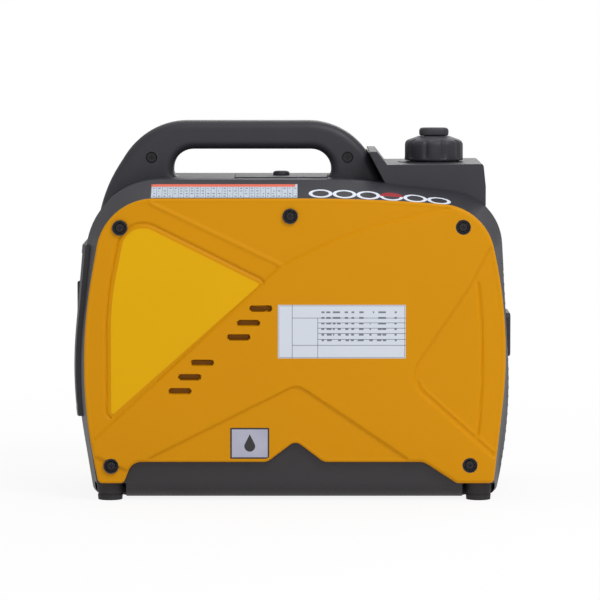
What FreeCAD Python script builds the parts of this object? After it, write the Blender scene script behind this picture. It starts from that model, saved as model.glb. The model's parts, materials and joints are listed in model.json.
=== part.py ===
import FreeCAD, Part
import math
import os

from FreeCAD import Vector

# Compact suitcase inverter generator.  Millimetres, +Z up.
# X runs from the control panel end (-X) to the exhaust end (+X), Y across the case.
# The origin is on the floor, under the middle of the case.

# ---- driving dimensions: case ----
case_length = 455.0          # control panel bulge to exhaust surround
case_width = 240.0           # over the two side covers
deck_height = 329.0          # top of the case between cover and handle
foot_height = 18.0           # rubber foot below the side cover
wall = 3.0                   # moulded wall of housing and covers
cover_depth = 8.0            # side cover, front to back
cover_top = 311.8            # top edge of a side cover
skirt_height = 40.5          # lower edge of a side cover between its feet tabs
crest_half_width = 73.0      # where the sloping deck meets the flat top
parting_height = 64.0        # base tray below, housing halves above
floor_gap = 2.5              # underside of the base tray above the floor
running_gap = 0.3            # between pieces that pass each other
fit_gap = 0.05               # radial, screw or shaft in its hole
snap_gap = 0.1               # each side, snap-in piece in the panel

# ---- driving dimensions: handle ----
handle_height = 387.8
handle_thickness = 44.0
handle_bar = 29.4            # bar above the finger gap
gap_left, gap_right = -126.0, 39.4
handle_round = 9.0

# ---- driving dimensions: fuel system ----
cap_x = 147.5
cap_diameter = 61.6
cap_skirt = 21.2
cap_seat_height = 346.0      # underside of the cap
neck_diameter = 46.0
cap_rib_count = 10
tank_left, tank_right = 66.0, 205.0
tank_bottom = 246.0

# ---- driving dimensions: engine ----
crank_height = 124.0
crank_diameter = 20.0
cylinder_x = -10.0
bore_diameter = 47.0
crank_teeth, cam_teeth = 20, 40
tooth_module = 1.25
fan_diameter = 150.0
pulley_diameter = 104.0
rope_diameter = 4.0
screw_diameter = 5.0

half_length = case_length / 2
half_width = case_width / 2
frame_half_width = half_width - cover_depth       # housing edge behind a cover
scale_x = case_length / 455.0                     # moulded outlines follow the case length
rise = deck_height - 329.0                        # and its height


# ---------------------------------------------------------------- shape helpers
def box(x0, x1, y0, y1, z0, z1):
    return Part.makeBox(x1 - x0, y1 - y0, z1 - z0, Vector(x0, y0, z0))


AXES = {"x": Vector(1, 0, 0), "y": Vector(0, 1, 0), "z": Vector(0, 0, 1)}


def rod(start, axis, diameter, length):
    return Part.makeCylinder(diameter / 2, length, Vector(*start), AXES[axis])


def ring(start, axis, outer, inner, length):
    return rod(start, axis, outer, length).cut(rod(start, axis, inner, length))


def fuse(*shapes):
    return shapes[0].multiFuse(list(shapes[1:])).removeSplitter()


def cut(shape, *tools):
    for tool in tools:
        shape = shape.cut(tool)
    return shape


def mirrored(shape):
    """The same piece on the other side of the case's middle plane."""
    return shape.mirror(Vector(0, 0, 0), Vector(0, 1, 0))


def rounded(corners):
    """Closed wire in the XZ plane through corners (x, z, radius), each one a tangent arc."""
    edges = []
    ends = []
    count = len(corners)
    for i in range(count):
        x, z, radius = corners[i]
        here = Vector(x, 0, z)
        before = Vector(corners[i - 1][0], 0, corners[i - 1][1]) - here
        after = Vector(corners[(i + 1) % count][0], 0, corners[(i + 1) % count][1]) - here
        before.normalize()
        after.normalize()
        half = before.getAngle(after) / 2
        reach = radius / math.tan(half)
        middle = before + after
        middle.normalize()
        bulge = here + middle * (radius / math.sin(half) - radius)
        ends.append((here + before * reach, bulge, here + after * reach))
    for i in range(count):
        start, bulge, stop = ends[i]
        edges.append(Part.Arc(start, bulge, stop).toShape())
        following = ends[(i + 1) % count][0]
        edges.append(Part.LineSegment(stop, following).toShape())
    return Part.Wire(edges)


def face_at(wire, y, inset=0.0):
    """The wire as a face moved to y, drawn in by inset."""
    if inset:
        wire = wire.makeOffset2D(-inset).Wires[0]
    face = Part.Face(wire)
    face.translate(Vector(0, y, 0))
    return face


def slab(wire, y0, y1, inset=0.0):
    return face_at(wire, y0, inset).extrude(Vector(0, y1 - y0, 0))


def cross_slab(wire, x0, x1):
    """Extrude an outline drawn in XZ along X instead: its x is read as y."""
    face = Part.Face(wire)
    face.rotate(Vector(0, 0, 0), AXES["z"], 90)
    face.translate(Vector(x0, 0, 0))
    return face.extrude(Vector(x1 - x0, 0, 0))


def slope(wire_a, y_a, inset_a, wire_b, y_b, inset_b):
    """Ruled solid from one outline to another."""
    first = face_at(wire_a, y_a, inset_a).OuterWire
    second = face_at(wire_b, y_b, inset_b).OuterWire
    return Part.makeLoft([first, second], True, True)


def soften(shape, radius, wanted):
    """Fillet the edges that wanted(edge) picks."""
    edges = [edge for edge in shape.Edges if wanted(edge)]
    return shape.makeFillet(radius, edges)


def rounded_box(x0, x1, y0, y1, z0, z1, radius):
    return soften(box(x0, x1, y0, y1, z0, z1), radius, lambda e: True)


def turned(shape, centre, axis, angle):
    copy = shape.copy()
    copy.rotate(Vector(*centre), AXES[axis], angle)
    return copy


def around(shape, centre, axis, count):
    return [turned(shape, centre, axis, 360.0 * i / count) for i in range(count)]


def export(name, *solids):
    shape = solids[0] if len(solids) == 1 else Part.makeCompound(list(solids))
    shape.exportStep("parts/" + name + ".step")
    print(name, len(shape.Solids), round(shape.Volume / 1000, 1), shape.isValid())


# ---------------------------------------------------------------- outlines of the case
def side_corners(foot, corner):
    """Barrel-sided outline of a side cover: left, top and right edges."""
    points = [(-201, foot, corner), (-224, 136, 520 / scale_x), (-193, cover_top, 60),
              (80, cover_top, 1700), (196.5, cover_top - 9.3, 57), (223.5, 176, 480 / scale_x),
              (206, foot, corner)]
    return [(x * scale_x, z + (rise if z > 150 else 0), r) for x, z, r in points]


def crest_corners():
    """Fuller outline of the middle of the case, where the sloping deck ends."""
    points = [(-207.5, floor_gap, 10), (-226.6, 119.3, 430 / scale_x),
              (-208.4, deck_height - rise, 77), (60, deck_height - rise, 428), (213.2, 312, 57.6),
              (226.5, 81.6, 500 / scale_x), (210, floor_gap, 10)]
    return [(x * scale_x, z + (rise if z > 150 else 0), r) for x, z, r in points]


def cover_corners():
    """The side cover's outline, with its two feet tabs and the arch between them."""
    upper = side_corners(foot_height + 0.5, 5)
    base = foot_height + 0.5
    sweep = [(168, base, 5), (134, skirt_height, 14), (31, skirt_height, 12),
             (2, skirt_height + 22, 9), (-27, skirt_height, 12), (-166, skirt_height, 14),
             (-175, base, 5)]
    lower = [(x * scale_x, z, r) for x, z, r in sweep]
    return upper + lower


side_wire = rounded(side_corners(floor_gap, 12))
crest_wire = rounded(crest_corners())
cover_wire = rounded(cover_corners())
edge_inset = 1.2             # the housing stands in from the cover's edge


def case_solid(inset):
    """The whole case behind the covers, drawn in by inset all round."""
    edge = frame_half_width - inset
    middle = slab(crest_wire, -crest_half_width, crest_half_width, inset)
    near = slope(side_wire, -edge, edge_inset + inset, crest_wire, -crest_half_width, inset)
    solid = fuse(middle, near, mirrored(near))
    corner = 16.0 - inset
    profile = rounded([(-edge, floor_gap + inset, corner), (-edge, 500, 1), (edge, 500, 1),
                       (edge, floor_gap + inset, corner)])
    return solid.common(cross_slab(profile, -half_length - 20, half_length + 20))


case_outer = case_solid(0.0)
case_inner = case_solid(wall)

# ---------------------------------------------------------------- screw places
cover_screws = [(-177.8, 281.9 + rise), (-3.4, 293.8 + rise), (173.7, 282.6 + rise),
                (-187.6, 36.6), (181.4, 37.4)]
cover_screws = [(x * scale_x, z) for x, z in cover_screws]
handle_screws = [(-148.8, 349.7), (56.5, 349.9)]
recess_diameter = 14.0
head_diameter = 9.6
head_height = 3.2
recess_floor = 2.4
screw_length = 14.0


def cover_screw(x, z):
    """Pan head screw through the cover's recess into the housing, on the -Y side."""
    seat = -frame_half_width - recess_floor
    head = rod((x, seat - head_height, z), "y", head_diameter, head_height)
    head = head.makeFillet(1.2, [e for e in head.Edges if abs(e.BoundBox.YMax - seat + head_height) < 0.01
                                 and e.Length > 20])
    cross = fuse(box(x - 2.6, x + 2.6, seat - head_height, seat - 1.2, z - 0.6, z + 0.6),
                 box(x - 0.6, x + 0.6, seat - head_height, seat - 1.2, z - 2.6, z + 2.6))
    shank = rod((x, seat, z), "y", screw_diameter, screw_length)
    return cut(fuse(head, shank), cross)


def screw_boss(x, z):
    """Blind boss behind the housing's edge that a cover screw bites in."""
    start = -frame_half_width
    return rod((x, start, z), "y", recess_diameter, screw_length + 2)


def screw_hole(x, z):
    return rod((x, -frame_half_width - 5, z), "y", screw_diameter + 2 * fit_gap, screw_length + 4)


# ---------------------------------------------------------------- side covers
slot_length, slot_height = 24.0, 6.8
slot_places = [(-33.6, 199.2), (-46.2, 184.3), (-56.2, 169.7), (-93.5, 143.3), (-106.5, 128.6),
               (-116.5, 114.1)]
wound_radius = pulley_diameter / 2 - 7 + rope_diameter / 2 + fit_gap
grip_x, grip_z = -134.0, crank_height + wound_radius + rope_diameter + 0.15
pocket_length, pocket_height, pocket_depth = 92.0, 34.0, 21.0


def side_cover():
    """Shallow yellow tray on the -Y side: rounded edge, sunk screw seats, vent slots with a baffle."""
    outer = slab(cover_wire, -half_width, -frame_half_width)
    outer = soften(outer, 4.0, lambda e: abs(e.BoundBox.YMin + half_width) < 0.01
                   and abs(e.BoundBox.YMax + half_width) < 0.01)
    hollow = slab(cover_wire, -half_width + wall, -frame_half_width, wall)
    shell = outer.cut(hollow)
    cups = [rod((x, -half_width + 1, z), "y", recess_diameter + 2 * wall, cover_depth - 1)
            for x, z in cover_screws]
    baffles = [box(x - slot_length / 2 - 3, x + slot_length / 2 + 3, -half_width + 1,
                   -frame_half_width, z - slot_height / 2 - 3, z + slot_height / 2 + 3)
               for x, z in slot_places]
    shell = fuse(shell, *(cups + baffles)).common(outer)
    for x, z in cover_screws:
        seat = -frame_half_width - recess_floor
        shell = cut(shell, rod((x, -half_width - 1, z), "y", recess_diameter, seat + half_width + 1),
                    rod((x, seat - 1, z), "y", screw_diameter + 0.6, 10))
    for x, z in slot_places:
        ends = slot_height / 2 - 0.1
        wire = rounded([(x - slot_length / 2, z - slot_height / 2, ends), (x - slot_length / 2,
                                                                           z + slot_height / 2, ends),
                        (x + slot_length / 2, z + slot_height / 2, ends), (x + slot_length / 2,
                                                                           z - slot_height / 2, ends)])
        shell = shell.cut(slab(wire, -half_width - 1, -frame_half_width - 1.5))
    return shell


def pocket_wire(inset):
    half, tall = pocket_length / 2 - inset, pocket_height / 2 - inset
    return rounded([(grip_x - half, grip_z - tall, 8), (grip_x - half, grip_z + tall, 8),
                    (grip_x + half, grip_z + tall, 8), (grip_x + half, grip_z - tall, 8)])


guide_diameter = 16.0


def right_cover():
    """The +Y cover: the same moulding with a pocket for the starter grip."""
    shell = mirrored(side_cover())
    floor = half_width - pocket_depth
    tub = slab(pocket_wire(-wall), floor - wall, half_width - 2)
    shell = fuse(shell, tub)
    shell = shell.cut(slab(pocket_wire(0), floor, half_width + 1))
    return shell.cut(rod((grip_x, floor - wall - 1, grip_z), "y", guide_diameter, wall + 2))


# ---------------------------------------------------------------- housing and handle
handle_wire = rounded([(-214, 250, 3), (-196.2, 320.8, 145), (-153.8, handle_height, 77),
                       (60.4, handle_height, 74), (97.2, 318, 3), (80, 300, 3), (-190, 250, 3)])
gap_bottom = deck_height - 0.4
gap_top = handle_height - handle_bar
gap_wire = rounded([(gap_left, gap_bottom, 7), (gap_left, gap_top, 21), (gap_right, gap_top, 21),
                    (gap_right, gap_bottom, 7)])
lid_left, lid_right, lid_half_width = -62.0, 36.0, 40.0
lid_knob_x = -13.0
leg_foot = 98.2              # where the handle's right leg meets the tank cover
wedge_rise = 12.6            # tank cover's wedge, up the leg
plate_left, plate_right = 90.0, 199.0


def handle_half():
    """-Y half of the handle, hollow, with its outer edges well rounded."""
    half = handle_thickness / 2
    solid = slab(handle_wire, -half, 0)
    solid = solid.cut(slab(gap_wire, -half - 1, 1))
    solid = soften(solid, handle_round, lambda e: abs(e.BoundBox.YMin + half) < 0.01
                   and abs(e.BoundBox.YMax + half) < 0.01 and e.BoundBox.ZMax > deck_height + 4)
    core = slab(handle_wire, -half + wall, 1, wall)
    return solid, core.cut(slab(gap_wire, -half, 2, -wall))


def side_opening():
    """The hole in the housing's side that a cover closes."""
    wire = rounded([(-158 * scale_x, parting_height + 12, 20), (-158 * scale_x, 268 + rise, 24),
                    (158 * scale_x, 268 + rise, 24), (158 * scale_x, parting_height + 12, 20)])
    return slab(wire, -half_width, -frame_half_width + wall + 1)


panel_low, panel_high, panel_half_width = 84.0, 262.0, 84.0
grille_low, grille_high, grille_half_width = 26.0, 243.0, 84.0
neck_hole = neck_diameter + 8


def housing_half():
    """-Y half of the black housing with half of the handle."""
    handle, core = handle_half()
    shell = case_outer.cut(case_inner)
    upper = box(-400, 400, -200, 0, parting_height, 500)
    shell = shell.common(upper).cut(side_opening())
    shell = fuse(shell, handle).cut(core.common(box(-400, 400, -200, 2, deck_height - wall, 500)))
    shell = shell.cut(case_inner)
    bosses = [screw_boss(x, z) for x, z in cover_screws if z > parting_height]
    posts = [rod((x, -handle_thickness / 2 + 1, z), "y", 13, handle_thickness / 2 - 1) for x,
             z in handle_screws]
    shell = fuse(shell, *(posts + [b.common(case_outer) for b in bosses]))
    for x, z in cover_screws:
        if z > parting_height:
            shell = shell.cut(screw_hole(x, z))
    shell = shell.cut(box(-400, -half_length + 45, -panel_half_width, 1, panel_low, panel_high))
    shell = shell.cut(box(half_length - 45, 400, -grille_half_width, 1, 0, grille_high))
    shell = shell.cut(box(lid_left, lid_right, -lid_half_width, 1, deck_height - wall - 5, deck_height + 3))
    return shell.cut(rod((cap_x, 0, deck_height - 40), "z", neck_hole, 80))


def handle_screw_cut(x, z, near):
    """Head recess in the near half, thread hole in the far one."""
    half = handle_thickness / 2
    if near:
        return fuse(rod((x, -half - 1, z), "y", recess_diameter - 2, 7),
                    rod((x, -half - 1, z), "y", screw_diameter + 0.6, half + 2))
    return rod((x, -1, z), "y", screw_diameter + 2 * fit_gap, half - 4)


def handle_screw(x, z):
    seat = -handle_thickness / 2 + 6
    head = rod((x, seat - head_height, z), "y", head_diameter, head_height)
    cross = fuse(box(x - 2.6, x + 2.6, seat - head_height, seat - 1.2, z - 0.6, z + 0.6),
                 box(x - 0.6, x + 0.6, seat - head_height, seat - 1.2, z - 2.6, z + 2.6))
    return cut(fuse(head, rod((x, seat, z), "y", screw_diameter, 30)), cross)


def base_tray():
    """Black tray under everything, with pads for the engine mounts and bosses for the cover screws."""
    lower = box(-400, 400, -200, 200, 0, parting_height)
    outer = case_outer.cut(foot_pockets(0)).common(lower)
    shell = outer.cut(case_inner.cut(foot_pockets(wall)))
    lower_screws = [(x, z) for x, z in cover_screws if z < parting_height]
    bosses = [screw_boss(x, z) for x, z in lower_screws]
    bosses += [mirrored(b) for b in bosses]
    pads = [rod((x, y, floor_gap + 1), "z", 26, wall + 3) for x, y in mount_places]
    posts = [rod((x, y, floor_gap + 1), "z", 16, inverter_low - floor_gap - 1) for x, y in inverter_places]
    shell = fuse(shell, *(bosses + pads + posts)).common(outer)
    for x, z in lower_screws:
        shell = cut(shell, screw_hole(x, z), mirrored(screw_hole(x, z)))
    shell = shell.cut(box(half_length - 45, 400, -grille_half_width, grille_half_width, grille_low, 500))
    vents = [box(x, x + 6, -50, 50, 0, 12) for x in range(-40, 41, 20)]
    return cut(shell, *vents)


mount_top = 34.0
mount_places = [(x, y) for x in (-38, 20) for y in (-66, 66)]
inverter_low = 44.0
inverter_places = [(-165.0, y) for y in (-60, 60)]
foot_places = [(x * scale_x, y) for x in (-189.5, 191.0) for y in (-98, 98)]
foot_diameter = 28.0


def foot_pockets(grow):
    """Open pockets at the tray's corners in which the feet stand."""
    pockets = []
    for x, y in foot_places:
        reach = foot_diameter / 2 + 3 + grow
        side = math.copysign(1, y)
        pockets.append(rod((x, y, -1), "z", 2 * reach, foot_height + 1 + grow))
        pockets.append(box(x - reach, x + reach, min(y, side * 150), max(y, side * 150), -1,
                           foot_height + grow))
    return Part.makeCompound(pockets)


def rubber_foot(x, y):
    foot = Part.makeCone(foot_diameter / 2 - 1.5, foot_diameter / 2, foot_height, Vector(x, y, 0),
                         AXES["z"])
    groove = ring((x, y, 5), "z", foot_diameter + 4, foot_diameter - 3.5, 2)
    return foot.cut(groove)


# ---------------------------------------------------------------- spark plug lid, tank cover
def spark_lid():
    top = deck_height
    plate = box(lid_left + running_gap, lid_right - running_gap, -lid_half_width + running_gap,
                lid_half_width - running_gap, top - wall, top + 1.2)
    plate = plate.makeFillet(1.0, [e for e in plate.Edges if e.BoundBox.ZMin > top + 1])
    return plate.cut(rod((lid_knob_x, 0, top - 10), "z", 8 + 2 * fit_gap, 20))


def spark_lid_knob():
    """Domed turn knob with a latch tongue under the lid."""
    top = deck_height + 1.2 + running_gap
    dome = rod((lid_knob_x, 0, top), "z", 17.5, 4.2)
    dome = dome.makeFillet(2.8, [e for e in dome.Edges if e.BoundBox.ZMin > top + 4])
    dome = dome.cut(box(lid_knob_x - 6, lid_knob_x + 6, -0.9, 0.9, top + 3, top + 6))
    low = deck_height - wall - running_gap
    stem = rod((lid_knob_x, 0, low - 3), "z", 8, top - low + 3.5)
    tongue = box(lid_knob_x - 5, lid_knob_x + 24, -5, 5, low - 3, low)
    return fuse(dome, stem, tongue)


plate_rise = 16.5


def tank_cover():
    """Raised plate round the filler neck; its -X end slants against the handle's leg."""
    half = crest_half_width - 2
    low, high = cap_seat_height - 28, cap_seat_height - 0.8
    outline = rounded([(leg_foot, low, 2), (leg_foot - 20.8, high + wedge_rise, 1),
                       (leg_foot - 11.8, high + wedge_rise, 1.5), (leg_foot - 1.4, high - 1, 2),
                       (plate_right - 2.5, high, 3), (plate_right, low + 4, 2), (plate_right, low - 18, 2)])
    solid = slab(outline, -half, half)
    solid = soften(solid, 0.8, lambda e: e.BoundBox.ZMin > deck_height + 8 and e.BoundBox.YLength < 1)
    hollow = rounded([(leg_foot + 8, low - 20, 2), (leg_foot + 8, high - wall - 1, 2),
                      (plate_right - 5.5, high - wall, 2), (plate_right - wall, low + 4, 2),
                      (plate_right - wall, low - 20, 2)])
    core = slab(hollow, -half + wall, half - wall)
    solid = cut(solid, core, case_outer, handle_block())
    top = cap_seat_height - 1.0
    seat = ring((cap_x, 0, top - 14), "z", cap_diameter + 14, neck_hole, 14)
    solid = fuse(solid, seat.cut(case_outer))
    recess = rod((cap_x, 0, top), "z", cap_diameter + 8, 12)
    return cut(solid, recess, rod((cap_x, 0, 300), "z", neck_hole, 80))


def handle_block():
    """Room that the handle takes, with a running gap, for whatever stands beside it."""
    half = handle_thickness / 2
    return slab(handle_wire, -half - running_gap, half + running_gap, -running_gap)


# ---------------------------------------------------------------- fuel system
def fuel_tank():
    """Moulded tank that follows the case, with a filler neck."""
    body = case_solid(wall + 2.0).common(box(tank_left, tank_right, -86, 86, tank_bottom, deck_height))
    hollow = case_solid(wall + 4.5).common(box(tank_left + 2.5, tank_right - 2.5, -83.5, 83.5,
                                               tank_bottom + 2.5,
                                               deck_height))
    neck_low = deck_height - 14
    neck = rod((cap_x, 0, neck_low), "z", neck_diameter, cap_seat_height + 15 - neck_low)
    lip = rod((cap_x, 0, deck_height - 10), "z", neck_diameter + 4, 4)
    tank = fuse(body.cut(hollow), neck, lip)
    tank = tank.cut(rod((cap_x, 0, deck_height - 30), "z", neck_diameter - 6, 60))
    outlet = rod((tank_left + 8, -30, tank_bottom - 8), "z", 8, 10)
    return fuse(tank, outlet).cut(rod((tank_left + 8, -30, tank_bottom - 9), "z", 4, 14))


cap_top = cap_seat_height + cap_skirt
shoulder = 4.2
knob_height = 8.6
cap_wall = 3.0
gasket_height = 3.0


def fuel_cap():
    """Ribbed screw cap with a stepped top and a turned-down shoulder."""
    outer = rod((cap_x, 0, cap_seat_height), "z", cap_diameter, cap_skirt)
    outer = outer.makeFillet(1.5, outer.Edges[0:1])
    top = Part.makeCone(cap_diameter / 2 - 1, cap_diameter / 2 - 8, shoulder, Vector(cap_x, 0,
                                                                                     cap_top), AXES["z"])
    cap = fuse(outer, top)
    groove = rod((cap_x + cap_diameter / 2 + 1.2, 0, cap_seat_height + 3), "z", 6.0, cap_skirt + 2)
    cap = cut(cap, *around(groove, (cap_x, 0, 0), "z", cap_rib_count))
    inside = neck_diameter + 2 * 0.5
    cap = cap.cut(rod((cap_x, 0, cap_seat_height - 1), "z", inside, cap_skirt - cap_wall + 1))
    return cap.cut(rod((cap_x, 0, cap_top - 6), "z", 12 + 2 * fit_gap, 20))


def cap_gasket():
    low = cap_seat_height + 15 + running_gap
    return ring((cap_x, 0, low), "z", neck_diameter, neck_diameter - 12,
                cap_top - cap_wall - low - running_gap)


def vent_knob():
    """Lever-shaped vent knob on the cap."""
    low = cap_top + shoulder + running_gap
    disc = rod((cap_x, 0, low), "z", 27, 4.5)
    disc = disc.makeFillet(1.0, [e for e in disc.Edges if e.BoundBox.ZMin > low + 4])
    lever = box(cap_x - 15.5, cap_x + 15.5, -6.5, 6.5, low, low + knob_height)
    lever = lever.makeFillet(2.4, [e for e in lever.Edges if e.BoundBox.ZMax > low + 5])
    stem = rod((cap_x, 0, cap_top - 5.5), "z", 12, low - cap_top + 6)
    return fuse(disc, lever, stem)


def filler_strainer():
    low = deck_height - 28
    high = cap_seat_height + 12
    cup = rod((cap_x, 0, low), "z", neck_diameter - 9, high - low)
    cup = cup.cut(rod((cap_x, 0, low + 1.5), "z", neck_diameter - 12, high))
    flange = ring((cap_x, 0, high - 1.5), "z", neck_diameter - 6.6, neck_diameter - 12, 1.5)
    slots = [turned(box(cap_x, cap_x + 40, -3, 3, low + 5, low + 22), (cap_x, 0, 0), "z", 45 * i)
             for i in range(8)]
    return fuse(cup, flange).cut(Part.makeCompound(slots))


# ---------------------------------------------------------------- control panel end
panel_sink = 4.0


def control_panel():
    """Panel that closes the -X end: a proud bezel round a sunk face."""
    shell = case_outer.cut(case_inner)
    gap = running_gap
    window = box(-400, -half_length + 44, -panel_half_width + gap, panel_half_width - gap, panel_low + gap,
                 panel_high - gap)
    plate = shell.common(window)
    hollow = box(-400, 0, -panel_half_width + 9, panel_half_width - 9, panel_low + 9, panel_high - 9)
    edge = case_outer.common(window).cut(hollow).optimalBoundingBox().XMin
    bulge = case_outer.copy()
    bulge.translate(Vector(-half_length - edge, 0, 0))
    bulge = bulge.cut(case_outer).common(window)
    plate = fuse(plate, bulge)
    plate = plate.cut(hollow)
    floor = panel_face()
    face = box(floor, floor + wall, -panel_half_width + 8, panel_half_width - 8, panel_low + 8,
               panel_high - 8)
    rim = cut(box(-half_length + 2, floor + wall, -panel_half_width + 6, panel_half_width - 6,
                  panel_low + 6,
                  panel_high - 6).common(case_outer), hollow)
    return cut(fuse(plate, rim, face), *panel_holes())


def panel_face():
    """X of the sunk face on which the fittings sit."""
    return -half_length + 14.0


outlet_places = [(-44.0, 128.0), (0.0, 128.0)]
outlet_size = 38.0
dc_place, usb_place, button_place = (45.0, 132.0), (45.0, 104.0), (66.0, 132.0)
knob_place, eco_place, earth_place = (-46.0, 202.0), (6.0, 186.0), (-60.0, 100.0)
light_places = [(y, 232.0) for y in (20.0, 36.0, 52.0)]
knob_diameter = 44.0


def pin_x(y, z, diameter, length, proud=0.0):
    """Cylinder through the panel face; proud is how far it stands out."""
    return rod((panel_face() - proud, y, z), "x", diameter, length)


def panel_holes():
    holes = [box(panel_face() - 1, panel_face() + wall + 1, y - outlet_size / 2 - snap_gap,
                 y + outlet_size / 2 + snap_gap,
                 z - outlet_size / 2 - snap_gap, z + outlet_size / 2 + snap_gap) for y, z in outlet_places]
    holes.append(pin_x(*dc_place, 22 + 2 * snap_gap, wall + 2, 1))
    holes.append(box(panel_face() - 1, panel_face() + wall + 1, usb_place[0] - 8 - snap_gap,
                     usb_place[0] + 8 + snap_gap,
                     usb_place[1] - 4 - snap_gap, usb_place[1] + 4 + snap_gap))
    holes.append(pin_x(*button_place, 11 + 2 * snap_gap, wall + 2, 1))
    holes.append(pin_x(*knob_place, 10 + 2 * fit_gap, wall + 2, 1))
    holes.append(box(panel_face() - 1, panel_face() + wall + 1,
                     eco_place[0] - rocker_half_width - running_gap,
                     eco_place[0] + rocker_half_width + running_gap,
                     eco_place[1] - rocker_radius - running_gap,
                     eco_place[1] + rocker_radius + running_gap))
    holes.append(pin_x(*earth_place, 5 + 2 * fit_gap, wall + 2, 1))
    holes += [pin_x(y, z, 6 + 2 * snap_gap, wall + 2, 1) for y, z in light_places]
    return holes




def outlet(y, z):
    """Panel socket with slots for two flat pins and an earth pin."""
    half = outlet_size / 2
    face = panel_face()
    body = fuse(box(face - 1.5, face, y - half - 2, y + half + 2, z - half - 2, z + half + 2),
                box(face, face + 26, y - half, y + half, z - half, z + half))
    pins = [box(face - 3, face + 18, y - 6.9, y - 5.2, z - 8.5, z + 0.5),
            box(face - 3, face + 18, y + 5.2, y + 6.9, z - 8.5, z + 0.5),
            box(face - 3, face + 18, y - 0.9, y + 0.9, z + 5, z + 13)]
    return cut(body, *pins)


def dc_socket():
    y, z = dc_place
    body = fuse(pin_x(y, z, 26, 2, 2), pin_x(y, z, 22, 24))
    return body.cut(pin_x(y, z, 17, 20, 3))


def usb_socket():
    y, z = usb_place
    face = panel_face()
    body = fuse(box(face - 1.5, face, y - 10, y + 10, z - 6, z + 6), box(face, face + 18, y - 8, y + 8,
                                                                         z - 4, z + 4))
    return body.cut(box(face - 2, face + 14, y - 6.5, y + 6.5, z - 2.7, z + 2.7))


def breaker_body():
    y, z = button_place
    body = fuse(pin_x(y, z, 15, 2, 2), pin_x(y, z, 11, 18))
    return body.cut(pin_x(y, z, 6 + 2 * fit_gap, 14, 3))


def breaker_button():
    y, z = button_place
    return pin_x(y, z, 6, 8.0, 3.5)


def switch_knob():
    """Round three-position engine switch with a grip bar."""
    y, z = knob_place
    disc = pin_x(y, z, knob_diameter, 6, 6 + running_gap)
    bar = box(panel_face() - 12, panel_face() - 5, y - 4.5, y + 4.5, z - 20, z + 20)
    bar = bar.makeFillet(2, [e for e in bar.Edges if e.BoundBox.XMax < panel_face() - 6])
    stem = pin_x(y, z, 10, 14, 1)
    return fuse(disc, bar, stem)


rocker_radius, rocker_half_width, rocker_tilt = 11.0, 7.0, 8.0


def eco_rocker():
    """Rocker at rest, tilted one way about its middle."""
    y, z = eco_place
    face = panel_face()
    body = rod((face + 4, y - rocker_half_width, z), "y", 2 * rocker_radius, 2 * rocker_half_width)
    body = body.cut(rod((face - 22, y - 20, z), "y", 40.0, 40))
    return turned(body, (face + 4, y, z), "y", -rocker_tilt)


def earth_terminal():
    y, z = earth_place
    stud = pin_x(y, z, 5, 22, 10)
    nut = pin_x(y, z, 10, 3, 3)
    wing = box(panel_face() - 7, panel_face() - 4, y - 10, y + 10, z - 2.5, z + 2.5)
    return fuse(stud, nut, wing)


# ---------------------------------------------------------------- exhaust end
surround_low, surround_high, surround_half = 141.0, 187.0, 30.0
tail_height = (surround_low + surround_high) / 2
tail_diameter = 24.0
louvre_pitch = 9.5


def rear_grille():
    """Panel of slanted louvres that closes the +X end."""
    shell = case_outer.cut(case_inner)
    gap = running_gap
    window = box(half_length - 44, 400, -grille_half_width + gap, grille_half_width - gap, grille_low + gap,
                 grille_high - gap)
    field = box(half_length - 44, 400, -grille_half_width + 10, grille_half_width - 10, grille_low + 8,
                grille_high - 8)
    frame = shell.common(window).cut(field)
    mullions = [box(half_length - 44, 400, y - 2, y + 2, grille_low + 6, grille_high - 6).common(shell)
                for y in (-37, 37)]
    tablet = box(half_length - 44, 400, -surround_half - 4, surround_half + 4, surround_low - 4,
                 surround_high + 4).common(shell)
    deep = case_outer.cut(case_solid(wall + 5.0))
    slats = []
    height = grille_low + 12
    while height < grille_high - 12:
        slat = box(half_length - 30, half_length + 6, -grille_half_width + 8, grille_half_width - 8, height,
                   height + 2.4)
        slat = turned(slat, (half_length - 8, 0, height), "y", 28)
        slats.append(slat.common(deep))
        height += louvre_pitch
    clear = rod((half_length - 60, 0, tail_height), "x", tail_diameter + 10, 100)
    grille = fuse(frame, tablet, *(mullions + slats))
    return grille.cut(clear)


def exhaust_surround():
    """Proud square tailpipe guard that sits on the grille."""
    low = case_outer.BoundBox.XMax - 9
    block = box(low, half_length, -surround_half, surround_half, surround_low, surround_high)
    block = block.makeFillet(6, [e for e in block.Edges if e.BoundBox.XLength > 5])
    block = block.makeFillet(2, [e for e in block.Edges if e.BoundBox.XMin > half_length - 0.1])
    block = block.cut(case_outer)
    clear = rod((low - 1, 0, tail_height), "x", tail_diameter + 8, 60)
    return block.cut(clear)


# ---------------------------------------------------------------- engine
case_left, case_right = -52.0, 34.0
case_half = 52.0
case_wall = 5.0
deck_of_case = 178.0
head_low, head_high = 232.0, 252.0
fin_half = 42.0
bearing_outer, bearing_width = 47.0, 12.0
web_diameter, web_width = 56.0, 12.0
stroke = 36.0
cam_drop = tooth_module * (crank_teeth + cam_teeth) / 2
port_height = 234.0
flywheel_left = -118.0


def shaft_clear(diameter):
    return diameter + 2 * fit_gap


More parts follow.
